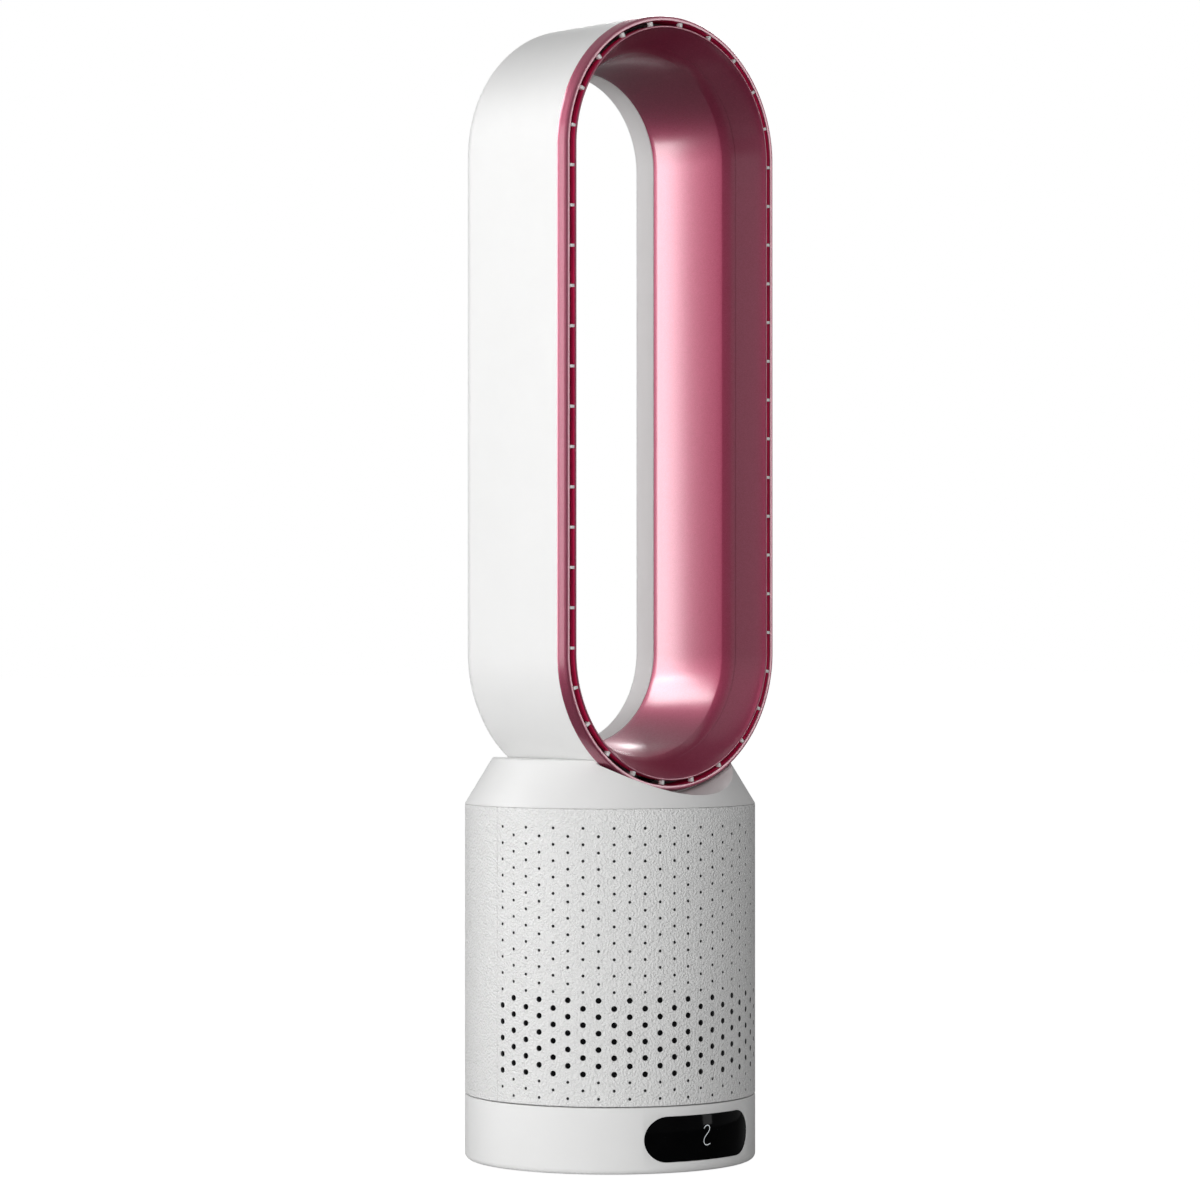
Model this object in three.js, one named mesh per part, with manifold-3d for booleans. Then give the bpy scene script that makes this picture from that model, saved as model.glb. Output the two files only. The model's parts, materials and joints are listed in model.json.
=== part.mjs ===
// Bladeless tower fan: a racetrack-shaped air loop on a round, perforated body that turns on a weighted base.
// Millimetres, +Z up. The origin is on the body's axis at floor level, and the front faces -Y.
// Everything above the seam at BASE_TOP turns on the base; a mixed-flow impeller in the body feeds the loop.

import * as THREE from "three";
import { mergeVertices } from "three/addons/utils/BufferGeometryUtils.js";
import Module from "manifold-3d";

const wasm = await Module();
wasm.setup();

// ---------------------------------------------------------------- clearances
const FIT_GAP = 0.3; // between pieces that seat on each other
const SEAM_GAP = 0.9; // visible seam between the fixed base and the turning body
const BLADE_TIP_GAP = 1.7; // impeller blade tip to its housing
const STEPPER_GAP = 1; // gears above the stepper motor
const OVERLAP = 1; // how far joined solids run into each other

// ---------------------------------------------------------------- round body
const BODY_RADIUS = 120;
const BASE_TOP = 55.6; // top of the fixed control ring
const BODY_TOP = 295; // top of the perforated body
const BODY_SIDES = 60; // flats of the round housings, one for each column of holes
const INNER_SIDES = 20; // flats of the round pieces inside
const CORE_SIDES = 16; // flats of motor-sized pieces
const PIN_SIDES = 8; // flats of shafts, posts and bosses
const FOOT_PROUD = 2; // base plate above the floor
const BASE_WALL = 3;
const BASE_EDGE_BEVEL = 3;
const BODY_WALL = 2.4;
const BRACKET_REACH = 4.5; // brackets inside the body's halves
const BRACKET_WIDTH = 14;
const BRACKET_HEIGHT = 3;
const BRACKETS_PER_HALF = 3;

// ---------------------------------------------------------------- intake holes
const HOLE_RADIUS = 2.35;
const HOLE_SIDES = 6;
const HOLE_ROWS = 5;
const HOLE_ROW_PITCH = 13.12;
const HOLE_FIELD_BOTTOM = 82.4; // lowest row of the even columns; the odd ones sit half a pitch higher
const FRONT_HOLE_COLUMNS = 30; // across the whole front half
const MESH_THICKNESS = 2;

// ---------------------------------------------------------------- shoulder
const SHOULDER_HEIGHT = 38;
const SHOULDER_TOP_RADIUS = 97;
const SHOULDER_WALL = 3;
const SHOULDER_SPIGOT = 12;
const NOTCH_RELIEF = 2.8; // round the bezel, where the notch is wider

// ---------------------------------------------------------------- air loop
const LOOP_RADIUS = 114; // half the loop's width, over the bezel
const LOOP_STRAIGHT = 406; // straight side between the two round ends
const LOOP_RISE = 10.8; // lowest point of the loop above the body
const LOOP_FRONT = -79; // y of the inner lip's front edge
const LOOP_DEPTH = 137;
const LOOP_SIDES = 30; // 4 n + 2, so that no corner falls where the straight sides start
const LOOP_WALL = 2.3;
const BEZEL_STEP = 1.3; // bezel proud of the rear shell
const BEZEL_DEPTH = 11.5;
const BEZEL_SETBACK = 1.5; // bezel's front edge behind the inner lip
const BEZEL_RIM = 5.7; // bezel's widest line in to the air slot
const BEZEL_LAND = 1.5; // flat beside the air slot
const BEZEL_SLOPE_DEPTH = 8; // from the land back to the widest line
const BEZEL_CURVE = 1.9; // power of the slope's curve; 1 is straight
const SPIGOT_DEPTH = 10;
const SLOT_WIDTH = 3.9;
const LIP_THICKNESS = 1.9;
const LIP_EDGE = 0.5; // rounding of the lip's edges
const LIP_DEPTH = 7; // lip's outer wall, front to back
const FLARE_DROP = 12; // inward run of the flared ring
const FLARE_DEPTH = 24;
const FLARE_CURVE = 1.15;
const STEP_DROP = 4.5; // steeper band behind the flare
const STEP_DEPTH = 12;
const LINER_DROP = 9.3; // inward run of the long liner
const LINER_CURVE = 1.7;
const REAR_LIP_DEPTH = 25; // white lip at the rear of the opening
const REAR_EDGE_RADIUS = 16;
const REAR_LIP_RADIUS = 5;
const SPACER_COUNT = 46;
const SPACER_THICKNESS = 1.8;
const SPACER_DEPTH = 5;
const SPACER_SETBACK = 1.6; // spacer behind the lip's front edge

// ---------------------------------------------------------------- air path
const DUCT_RADIUS = 66;
const DUCT_WALL = 2.5;
const INLET_BOTTOM = 108;
const INLET_FLARE_RADIUS = 84;
const INLET_FLARE_HEIGHT = 17;
const HOUSING_BRACKET_Z = 197; // brackets in the body that carry the impeller housing
const ISOLATOR_THICKNESS = 3;
const HOUSING_COLLAR = 6; // housing above its flange
const NECK_COLLAR = 3; // straight start of the neck duct
const NECK_HALF_WIDTH = 46; // oval throat into the loop, across
const NECK_HALF_DEPTH = 28; // and front to back
const GASKET_WIDTH = 6;

// ---------------------------------------------------------------- impeller and its motor
const IMPELLER_BOTTOM = 122;
const IMPELLER_TOP = 160;
const IMPELLER_NOSE_RADIUS = 10;
const IMPELLER_HUB_RADIUS = 39;
const IMPELLER_SKIN = 2.6;
const IMPELLER_CORE_RADIUS = 8;
const IMPELLER_CORE_SETBACK = 8; // core's ends inside the hub's
const HUB_CURVE = [
  [0, 0],
  [0.28, 0.16],
  [0.69, 0.63],
  [1, 1],
]; // the hub's outline: share of its flare, share of its height
const IMPELLER_BLADES = 7;
const HUB_SIDES_PER_BLADE = 3; // so that every blade meets the hub alike
const BLADE_THICKNESS = 2;
const BLADE_MARGIN = 3; // blade's edges inside the hub's ends
const BLADE_TWIST = 48;
const BLADE_SWEEP = 0.4; // how much more the lower edge twists than the upper
const BLADE_ROWS = [0, 0.12, 0.4, 0.7, 1]; // shares of the blade's height
const SHAFT_RADIUS = 3;
const SHAFT_TOP = 199;
const NUT_RADIUS = 7;
const NUT_HEIGHT = 6.5;
const NUT_BORE_DEPTH = 4;
const NUT_CHAMFER = 2;
const POD_BOTTOM = 165;
const POD_TOP = 203;
const POD_RADIUS = 41;
const POD_WALL = 2.5;
const DIFFUSER_TOP = 200;
const DIFFUSER_VANES = 7;
const VANE_THICKNESS = 2;
const VANE_LEAN = 12;
const MOTOR_RADIUS = 26;
const MOTOR_BOTTOM = 171;
const MOTOR_TOP = 200;
const MOTOR_WALL = 1.5;
const MOTOR_SHAFT_GAP = 2; // round the shaft, in the can and the cap
const CAP_SKIN = 0.4; // closed top of the cap over the shaft
const BEARING_RADIUS = 8;
const BEARING_HEIGHT = 5;
const STATOR_HEIGHT = 12;
const STATOR_TEETH = 6;
const STATOR_YOKE = 4;
const STATOR_TOOTH_WIDTH = 7;
const ROTOR_RADIUS = 13.8;
const AIR_GAP = 0.8;
const MOUNT_HEIGHT = 4;

// ---------------------------------------------------------------- turntable and its drive
const HUB_RADIUS = 45.7; // tube of the turntable through the base's deck
const HUB_BORE = 32;
const DECK_THICKNESS = 3;
const TURNTABLE_THICKNESS = 3;
const WEAR_RING_INNER = 60;
const WEAR_RING_OUTER = 72;
const WEAR_RING_THICKNESS = 1.8;
const GEAR_MODULE = 1.5;
const GEAR_TEETH = 72; // as a full circle
const SECTOR_TEETH = 23; // the teeth that are cut
const PINION_TEETH = 18;
const GEAR_THICKNESS = 6;
const GEAR_WEB_RADIUS = 50;
const TOOTH_SHARE = 0.42; // tooth width at the pitch circle, as a share of the pitch
const TOOTH_ADDENDUM = 0.85; // in modules
const TOOTH_DEDENDUM = 1.25;
const TOOTH_TIP_SHARE = 0.55; // of the width at the pitch circle
const TOOTH_ROOT_SHARE = 1.3;
const STEPPER_RADIUS = 17.5;
const STEPPER_HEIGHT = 17;
const STEPPER_EAR_REACH = 25;
const STEPPER_EAR_HALF_WIDTH = 4;
const STEPPER_EAR_THICKNESS = 1.5;
const STEPPER_SCREW_REACH = 21;
const STEPPER_POST_RADIUS = 3;
const STEPPER_SHAFT_RADIUS = 2.5;

// ---------------------------------------------------------------- base
const PLATE_THICKNESS = 3;
const PLATE_INSET = 8; // plate's edge in from the body's
const FOOT_COUNT = 4;
const FOOT_RADIUS = 9;
const FOOT_RECESS = 1.5;
const FOOT_CIRCLE = 84;
const BOSS_COUNT = 4;
const BOSS_RADIUS = 5;
const BOSS_INSET = 14; // boss centres in from the body's outside
const SCREW_HEAD_RADIUS = 4;
const SCREW_HEAD_DEPTH = 1.6;
const WEIGHT_INNER = 40;
const WEIGHT_OUTER = 92;
const WEIGHT_THICKNESS = 8;

// ---------------------------------------------------------------- display and power inlet
const WINDOW_Z = 29.5;
const WINDOW_HALF_LENGTH = 55;
const WINDOW_HALF_HEIGHT = 18.2;
const LENS_THICKNESS = 2.4;
const BOARD_THICKNESS = 1.6;
const BOARD_DISTANCE = 96; // display board's front face in front of the axis
const BOARD_HALF_LENGTH = 64;
const BOARD_HALF_HEIGHT = 14;
const BOARD_POST_X = 60;
const BOARD_POST_WIDTH = 5;
const DIGITS_HALF_WIDTH = 23;
const DIGITS_HALF_HEIGHT = 11;
const DIGITS_DEPTH = 16;
const RECEIVER_X = 36;
const RECEIVER_SIZE = 6;
const RECEIVER_EYE_RADIUS = 2;
const INLET_Z = 20;
const INLET_NOSE_RADIUS = 6;
const INLET_BORE_RADIUS = 3.2;
const INLET_BORE_DEPTH = 9;
const INLET_PIN_RADIUS = 1;
const INLET_BODY_WIDTH = 14;
const INLET_BODY_DEPTH = 12;
const INLET_SETBACK = 0.8;

// ---------------------------------------------------------------- driver board
const DRIVER_BOARD_WIDTH = 90;
const DRIVER_BOARD_DEPTH = 50;
const DRIVER_BOARD_Y = 76;
const DRIVER_BOARD_STAND = 6.5;
const DRIVER_POST_RADIUS = 3;
const DRIVER_POST_X = 38;
const DRIVER_POST_Y = 18; // from the board's middle
const CAPACITOR_RADIUS = 8;
const CAPACITOR_HEIGHT = 24;
const CONNECTOR_WIDTH = 12;
const CONNECTOR_DEPTH = 8;
const CONNECTOR_HEIGHT = 9;

// ---------------------------------------------------------------- places that follow from them
const BODY_BOTTOM = BASE_TOP + SEAM_GAP;
const SHOULDER_TOP = BODY_TOP + SHOULDER_HEIGHT;
const LOWER_ARC_Z = BODY_TOP + LOOP_RISE + LOOP_RADIUS;
const LOOP_MIDDLE_Z = LOWER_ARC_Z + LOOP_STRAIGHT / 2;
const SHELL_RADIUS = LOOP_RADIUS - BEZEL_STEP;
const SHELL_FRONT = LOOP_FRONT + BEZEL_DEPTH + FIT_GAP;
const LOOP_REAR = LOOP_FRONT + LOOP_DEPTH;
const SLOT_OUTER = LOOP_RADIUS - BEZEL_RIM;
const LIP_OUTER = SLOT_OUTER - SLOT_WIDTH;
const LIP_INNER = LIP_OUTER - LIP_THICKNESS;
const FLARE_INNER = LIP_INNER - FLARE_DROP;
const STEP_INNER = FLARE_INNER - STEP_DROP;
const THROAT_RADIUS = STEP_INNER - LINER_DROP;
const FLARE_REAR = LOOP_FRONT + FLARE_DEPTH;
const STEP_REAR = FLARE_REAR + STEP_DEPTH;
const LINER_REAR = LOOP_REAR - REAR_LIP_DEPTH;
const NOTCH_RADIUS = SHELL_RADIUS + FIT_GAP;
const FRONT_NOTCH_RADIUS = LOOP_RADIUS + NOTCH_RELIEF;
const SEAT_RADIUS = NOTCH_RADIUS + SHOULDER_WALL; // under the notch's floor
const HOUSING_FLANGE_Z = HOUSING_BRACKET_Z + BRACKET_HEIGHT + ISOLATOR_THICKNESS + 2 * FIT_GAP;
const FOOT_BRACKET_Z = BODY_BOTTOM + TURNTABLE_THICKNESS + FIT_GAP;
const HOUSING_TOP = HOUSING_FLANGE_Z + DUCT_WALL + HOUSING_COLLAR;
const DECK_BOTTOM = BASE_TOP - DECK_THICKNESS;
const HUB_BOTTOM = DECK_BOTTOM - 2 * FIT_GAP;
const GEAR_TOP = HUB_BOTTOM - FIT_GAP;
const GEAR_BOTTOM = GEAR_TOP - GEAR_THICKNESS;
const PINION_DISTANCE = (GEAR_MODULE * (GEAR_TEETH + PINION_TEETH)) / 2;
const STEPPER_TOP = GEAR_BOTTOM - STEPPER_GAP;
const PLATE_RADIUS = BODY_RADIUS - PLATE_INSET - FIT_GAP;
const PLATE_TOP = FOOT_PROUD + PLATE_THICKNESS;
const DRIVER_BOARD_Z = BODY_BOTTOM + TURNTABLE_THICKNESS + DRIVER_BOARD_STAND + FIT_GAP;
const LOWER_BEARING_Z = MOTOR_BOTTOM + MOTOR_WALL + FIT_GAP;
const CAP_BOTTOM = MOTOR_TOP - MOTOR_WALL;
const UPPER_BEARING_Z = CAP_BOTTOM - FIT_GAP - BEARING_HEIGHT;
const STATOR_BOTTOM = (MOTOR_BOTTOM + MOTOR_TOP - STATOR_HEIGHT) / 2;
const FAR = 400; // longer than anything a cutting block has to clear
const DEGREE = Math.PI / 180;

// ---------------------------------------------------------------- finishes
const finish = (color, roughness, metalness = 0) =>
  new THREE.MeshStandardMaterial({ color, roughness, metalness });
const WHITE_PLASTIC = finish(0xf0efee, 0.42);
const ROSE_METALLIC = finish(0xb9607c, 0.3, 0.7);
const BLACK_GLOSS = finish(0x060607, 0.08);
const DARK_MESH = finish(0x16171a, 0.9);
const GREY_PLASTIC = finish(0xb9bbbd, 0.55);
const DARK_PLASTIC = finish(0x3a3c3f, 0.5);
const NATURAL_PLASTIC = finish(0xdedbd0, 0.5);
const BLACK_RUBBER = finish(0x1d1e1f, 0.85);
const STEEL = finish(0xb4b7ba, 0.35, 1);
const CAST_IRON = finish(0x56585a, 0.7, 0.8);
const COPPER = finish(0xb87333, 0.4, 0.9);
const GREEN_BOARD = finish(0x1f5b3a, 0.6);
const WHITE_DIGITS = finish(0xcfd3d4, 0.5);

// ---------------------------------------------------------------- solids
const at = (x, y) => new THREE.Vector2(x, y);

// Corner radius of a polygon whose flats touch a circle, for what has to turn inside it.
const clearOf = (radius, sides) => radius / Math.cos(Math.PI / sides);

// A closed geometry as a solid that can be joined and cut.
function solid(geometry) {
  const bare = geometry.clone();
  bare.deleteAttribute("normal");
  bare.deleteAttribute("uv");
  const merged = mergeVertices(bare, 1e-4);
  const corners = merged.index.array;
  const kept = [];
  for (let i = 0; i < corners.length; i += 3) {
    const [a, b, c] = corners.slice(i, i + 3);
    if (a !== b && b !== c && c !== a) kept.push(a, b, c);
  }
  const vertProperties = merged.attributes.position.array;
  return new wasm.Manifold(new wasm.Mesh({ numProp: 3, vertProperties, triVerts: new Uint32Array(kept) }));
}

const join = (first, ...others) => others.reduce((all, other) => all.add(other), first);
const cut = (first, ...others) => others.reduce((rest, other) => rest.subtract(other), first);
const common = (first, second) => first.intersect(second);

// A solid as a named mesh.
function piece(name, body, material) {
  const made = body.getMesh();
  const geometry = new THREE.BufferGeometry();
  geometry.setAttribute("position", new THREE.BufferAttribute(made.vertProperties, 3));
  geometry.setIndex(new THREE.BufferAttribute(made.triVerts, 1));
  geometry.computeVertexNormals();
  const mesh = new THREE.Mesh(geometry, material);
  mesh.name = name;
  return mesh;
}

// The same outline, running anticlockwise and closed on itself.
function closedProfile(points) {
  const ring = THREE.ShapeUtils.area(points) < 0 ? [...points].reverse() : [...points];
  return [...ring, ring[0].clone()];
}

// Points on an arc of a profile, from one angle to another, ends included.
function arc(x, y, radius, from, to, steps) {
  return Array.from({ length: steps + 1 }, (_, i) => {
    const angle = (from + ((to - from) * i) / steps) * DEGREE;
    return at(x + radius * Math.cos(angle), y + radius * Math.sin(angle));
  });
}

// A profile of (radius, z) points turned about the body's axis; the first corner lies at the front.
const turned = (points, sides) =>
  new THREE.LatheGeometry(closedProfile(points), sides).rotateX(Math.PI / 2);

const turnedSolid = (points, sides) => solid(turned(points, sides));

const tube = (inner, outer, bottom, top, sides) =>
  turnedSolid([at(inner, bottom), at(outer, bottom), at(outer, top), at(inner, top)], sides);

const disc = (radius, bottom, top, sides) => tube(0, radius, bottom, top, sides);

const block = (width, depth, height, x, y, z) =>
  solid(new THREE.BoxGeometry(width, depth, height).translate(x, y, z));

const post = (radius, bottom, top, x, y, sides = PIN_SIDES) =>
  solid(turned([at(0, bottom), at(radius, bottom), at(radius, top), at(0, top)], sides).translate(x, y, 0));

// A rod along Y.
const rod = (radius, front, rear, x, z, sides = PIN_SIDES) =>
  solid(new THREE.CylinderGeometry(radius, radius, rear - front, sides).translate(x, (front + rear) / 2, z));

// Copies of a geometry's solid, turned in equal steps about the body's axis.
function spread(count, firstAngle, make) {
  return Array.from({ length: count }, (_, i) =>
    solid(make(i).rotateZ((firstAngle + (360 * i) / count) * DEGREE)),
  );
}

// A profile of (distance from the loop's middle line, y) points swept round the racetrack: a turned ring
// whose two halves are drawn apart. Its flats touch the true curve.
function racetrack(points) {
  const ring = new THREE.LatheGeometry(closedProfile(points), LOOP_SIDES);
  const place = ring.attributes.position;
  for (let i = 0; i < place.count; i++) {
    const x = clearOf(place.getX(i), LOOP_SIDES);
    const z = clearOf(place.getZ(i), LOOP_SIDES);
    const drawn = Math.abs(z) < 1e-6 ? 0 : (Math.sign(z) * LOOP_STRAIGHT) / 2;
    place.setXYZ(i, x, place.getY(i), z + drawn + LOOP_MIDDLE_Z);
  }
  return ring;
}

const racetrackRing = (points) => solid(racetrack(points));

const racetrackPlug = (radius, front, rear) =>
  racetrackRing([at(0, front), at(radius, front), at(radius, rear), at(0, rear)]);

// An upright oval column through the neck.
const ovalColumn = (halfWidth, halfDepth) =>
  solid(
    new THREE.CylinderGeometry(1, 1, FAR, INNER_SIDES)
      .rotateX(Math.PI / 2)
      .scale(halfWidth, halfDepth, 1)
      .translate(0, 0, BODY_TOP),
  );

// The display window's outline, run through the front wall.
function windowPlug(margin) {
  const straight = WINDOW_HALF_LENGTH - WINDOW_HALF_HEIGHT;
  const radius = WINDOW_HALF_HEIGHT + margin;
  const outline = new THREE.Shape();
  outline.absarc(straight, WINDOW_Z, radius, -Math.PI / 2, Math.PI / 2);
  outline.absarc(-straight, WINDOW_Z, radius, Math.PI / 2, (3 * Math.PI) / 2);
  const depth = BODY_RADIUS - BOARD_DISTANCE;
  return solid(
    new THREE.ExtrudeGeometry(outline, { depth, bevelEnabled: false, curveSegments: 8 })
      .rotateX(Math.PI / 2)
      .translate(0, -BOARD_DISTANCE - FIT_GAP, 0),
  );
}

// ---------------------------------------------------------------- base
// Where the screw bosses and the plate's screw heads stand.
function bossPlaces() {
  return Array.from({ length: BOSS_COUNT }, (_, i) => {
    const angle = (45 + (360 * i) / BOSS_COUNT) * DEGREE;
    const reach = BODY_RADIUS - BOSS_INSET;
    return [reach * Math.cos(angle), reach * Math.sin(angle)];
  });
}

function footPlaces() {
  return Array.from({ length: FOOT_COUNT }, (_, i) => {
    const angle = (360 * i) / FOOT_COUNT;
    return [FOOT_CIRCLE * Math.cos(angle * DEGREE), FOOT_CIRCLE * Math.sin(angle * DEGREE)];
  });
}

function basePlate() {
  const heads = bossPlaces().map(([x, y]) =>
    post(SCREW_HEAD_RADIUS, FOOT_PROUD - OVERLAP, FOOT_PROUD + SCREW_HEAD_DEPTH, x, y, HOLE_SIDES),
  );
  const recesses = footPlaces().map(([x, y]) =>
    post(FOOT_RADIUS + FIT_GAP, FOOT_PROUD - OVERLAP, FOOT_PROUD + FOOT_RECESS, x, y),
  );
  return cut(disc(PLATE_RADIUS, FOOT_PROUD, PLATE_TOP, BODY_SIDES / 2), ...heads, ...recesses);
}

const foot = ([x, y]) => post(FOOT_RADIUS, 0, FOOT_PROUD + FOOT_RECESS - FIT_GAP, x, y);

const ballastWeight = () =>
  tube(WEIGHT_INNER, WEIGHT_OUTER, PLATE_TOP + FIT_GAP, PLATE_TOP + FIT_GAP + WEIGHT_THICKNESS, INNER_SIDES);

// The control ring's section: bevelled foot edge, wall and closed deck.
function controlRingProfile() {
  const seat = PLATE_RADIUS + FIT_GAP;
  const inside = BODY_RADIUS - BASE_WALL;
  return [
    at(seat, FOOT_PROUD),
    at(BODY_RADIUS - BASE_EDGE_BEVEL, FOOT_PROUD),
    at(BODY_RADIUS, FOOT_PROUD + BASE_EDGE_BEVEL),
    at(BODY_RADIUS, BASE_TOP),
    at(0, BASE_TOP),
    at(0, DECK_BOTTOM),
    at(inside, DECK_BOTTOM),
    at(inside, PLATE_TOP + PLATE_INSET - BASE_WALL),
    at(seat, PLATE_TOP),
  ];
}

function controlRing() {
  const grooveFloor = BODY_BOTTOM - WEAR_RING_THICKNESS - 2 * FIT_GAP;
  const shell = cut(
    turnedSolid(controlRingProfile(), BODY_SIDES),
    disc(clearOf(HUB_RADIUS + FIT_GAP, INNER_SIDES), DECK_BOTTOM - OVERLAP, BASE_TOP + OVERLAP, INNER_SIDES),
    tube(WEAR_RING_INNER - FIT_GAP, WEAR_RING_OUTER + FIT_GAP, grooveFloor, BASE_TOP + OVERLAP, INNER_SIDES),
  );
  const overlap = DECK_THICKNESS / 2;
  const bosses = bossPlaces().map(([x, y]) =>
    post(BOSS_RADIUS, PLATE_TOP + FIT_GAP, DECK_BOTTOM + overlap, x, y),
  );
  const stepperPosts = [-STEPPER_SCREW_REACH, STEPPER_SCREW_REACH].map((x) =>
    post(STEPPER_POST_RADIUS, STEPPER_TOP + FIT_GAP, DECK_BOTTOM + overlap, x, PINION_DISTANCE),
  );
  const wallFront = Math.sqrt((BODY_RADIUS - BASE_WALL / 2) ** 2 - BOARD_POST_X ** 2);
  const boardPosts = [-1, 1].map((side) => {
    const length = wallFront - BOARD_DISTANCE - FIT_GAP;
    const middle = -BOARD_DISTANCE - FIT_GAP - length / 2;
    return block(BOARD_POST_WIDTH, length, BOARD_POST_WIDTH, side * BOARD_POST_X, middle, WINDOW_Z);
  });
  const inletRadius = INLET_NOSE_RADIUS + FIT_GAP;
  const inletHole = rod(inletRadius, BODY_RADIUS - 2 * BASE_WALL, BODY_RADIUS + OVERLAP, 0, INLET_Z);
  return cut(join(shell, ...bosses, ...stepperPosts, ...boardPosts), windowPlug(FIT_GAP), inletHole);
}

// The pill window follows the ring's curve.
function displayLens() {
  const band = tube(BODY_RADIUS - LENS_THICKNESS, BODY_RADIUS, FOOT_PROUD, BASE_TOP, BODY_SIDES);
  return common(band, windowPlug(0));
}

const displayBoard = () =>
  block(
    2 * BOARD_HALF_LENGTH,
    BOARD_THICKNESS,
    2 * BOARD_HALF_HEIGHT,
    0,
    -BOARD_DISTANCE + BOARD_THICKNESS / 2,
    WINDOW_Z,
  );

const digitModule = () =>
  block(
    2 * DIGITS_HALF_WIDTH,
    DIGITS_DEPTH,
    2 * DIGITS_HALF_HEIGHT,
    0,
    -BOARD_DISTANCE - FIT_GAP - DIGITS_DEPTH / 2,
    WINDOW_Z,
  );

// A small block with a round eye that looks out through the window.
function infraredReceiver() {
  const back = -BOARD_DISTANCE - FIT_GAP;
  const eye = new THREE.SphereGeometry(RECEIVER_EYE_RADIUS, PIN_SIDES, PIN_SIDES - 2);
  return join(
    block(RECEIVER_SIZE, RECEIVER_SIZE, RECEIVER_SIZE, RECEIVER_X, back - RECEIVER_SIZE / 2, WINDOW_Z),
    solid(eye.translate(RECEIVER_X, back - RECEIVER_SIZE, WINDOW_Z)),
  );
}

// A barrel socket: a round nose through the wall, its bore and centre pin, and the block behind.
function powerInlet() {
  const face = BODY_RADIUS - INLET_SETBACK;
  const back = BODY_RADIUS - BASE_WALL - 2 * FIT_GAP;
  const boreEnd = face - INLET_BORE_DEPTH;
  const middle = back - INLET_BODY_DEPTH / 2;
  const body = block(INLET_BODY_WIDTH, INLET_BODY_DEPTH, INLET_BODY_WIDTH, 0, middle, INLET_Z);
  const nose = rod(INLET_NOSE_RADIUS, back - OVERLAP, face, 0, INLET_Z);
  const bore = rod(INLET_BORE_RADIUS, boreEnd, face + OVERLAP, 0, INLET_Z);
  const pin = rod(INLET_PIN_RADIUS, boreEnd - OVERLAP, face - INLET_SETBACK, 0, INLET_Z);
  return join(cut(join(body, nose), bore), pin);
}

// ---------------------------------------------------------------- turntable drive
function wearRing() {
  const top = BODY_BOTTOM - FIT_GAP;
  return tube(WEAR_RING_INNER, WEAR_RING_OUTER, top - WEAR_RING_THICKNESS, top, INNER_SIDES);
}

// Outline points of one straight-sided tooth, centred on an angle.
function toothPoints(teeth, centre) {
  const pitchRadius = (GEAR_MODULE * teeth) / 2;
  const tip = pitchRadius + TOOTH_ADDENDUM * GEAR_MODULE;
  const root = pitchRadius - TOOTH_DEDENDUM * GEAR_MODULE;
  const half = (Math.PI / teeth) * TOOTH_SHARE;
  const tipHalf = half * TOOTH_TIP_SHARE;
  const rootHalf = half * TOOTH_ROOT_SHARE;
  const polar = (radius, angle) => at(radius * Math.sin(centre + angle), radius * Math.cos(centre + angle));
  return [polar(root, -rootHalf), polar(tip, -tipHalf), polar(tip, tipHalf), polar(root, rootHalf)];
}

// The sector gear below the deck: a retaining ring with teeth on the side towards the pinion.
function sectorGear() {
  const step = (2 * Math.PI) / GEAR_TEETH;
  const reach = (SECTOR_TEETH - 1) / 2;
  const outline = [];
  for (let i = 0; i < SECTOR_TEETH; i++) outline.push(...toothPoints(GEAR_TEETH, (i - reach) * step));
  const rest = 2 * Math.PI - SECTOR_TEETH * step;
  const webSteps = CORE_SIDES - 2;
  for (let i = 0; i <= webSteps; i++) {
    const angle = (reach + 0.5) * step + (rest * i) / webSteps;
    outline.push(at(GEAR_WEB_RADIUS * Math.sin(angle), GEAR_WEB_RADIUS * Math.cos(angle)));
  }
  const shape = new THREE.Shape(outline);
  shape.holes.push(new THREE.Path(arc(0, 0, HUB_BORE, 0, 360 - 360 / INNER_SIDES, INNER_SIDES - 1)));
  const options = { depth: GEAR_THICKNESS, bevelEnabled: false };
  return solid(new THREE.ExtrudeGeometry(shape, options).translate(0, 0, GEAR_BOTTOM));
}

// The pinion stands behind the gear with a tooth space facing it.
function pinion() {
  const outline = [];
  for (let i = 0; i < PINION_TEETH; i++) {
    outline.push(...toothPoints(PINION_TEETH, ((i + 0.5) * 2 * Math.PI) / PINION_TEETH + Math.PI));
  }
  const shape = new THREE.Shape(outline);
  const bore = STEPPER_SHAFT_RADIUS + FIT_GAP;
  shape.holes.push(new THREE.Path(arc(0, 0, bore, 0, 360 - 360 / PIN_SIDES, PIN_SIDES - 1)));
  const options = { depth: GEAR_THICKNESS, bevelEnabled: false };
  return solid(new THREE.ExtrudeGeometry(shape, options).translate(0, PINION_DISTANCE, GEAR_BOTTOM));
}

// A flat stepper motor with two screw ears, hung from the deck's posts.
function stepperMotor() {
  const can = post(STEPPER_RADIUS, STEPPER_TOP - STEPPER_HEIGHT, STEPPER_TOP, 0, PINION_DISTANCE, CORE_SIDES);
  const ears = block(
    2 * STEPPER_EAR_REACH,
    2 * STEPPER_EAR_HALF_WIDTH,
    STEPPER_EAR_THICKNESS,
    0,
    PINION_DISTANCE,
    STEPPER_TOP - STEPPER_EAR_THICKNESS / 2,
  );
  const boreRadius = STEPPER_SHAFT_RADIUS + FIT_GAP;
  const boreBottom = STEPPER_TOP - STEPPER_HEIGHT / 2;
  return cut(join(can, ears), post(boreRadius, boreBottom, STEPPER_TOP + OVERLAP, 0, PINION_DISTANCE));
}

const stepperShaft = () =>
  post(STEPPER_SHAFT_RADIUS, STEPPER_TOP - STEPPER_HEIGHT / 2 + FIT_GAP, GEAR_TOP, 0, PINION_DISTANCE);

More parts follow.
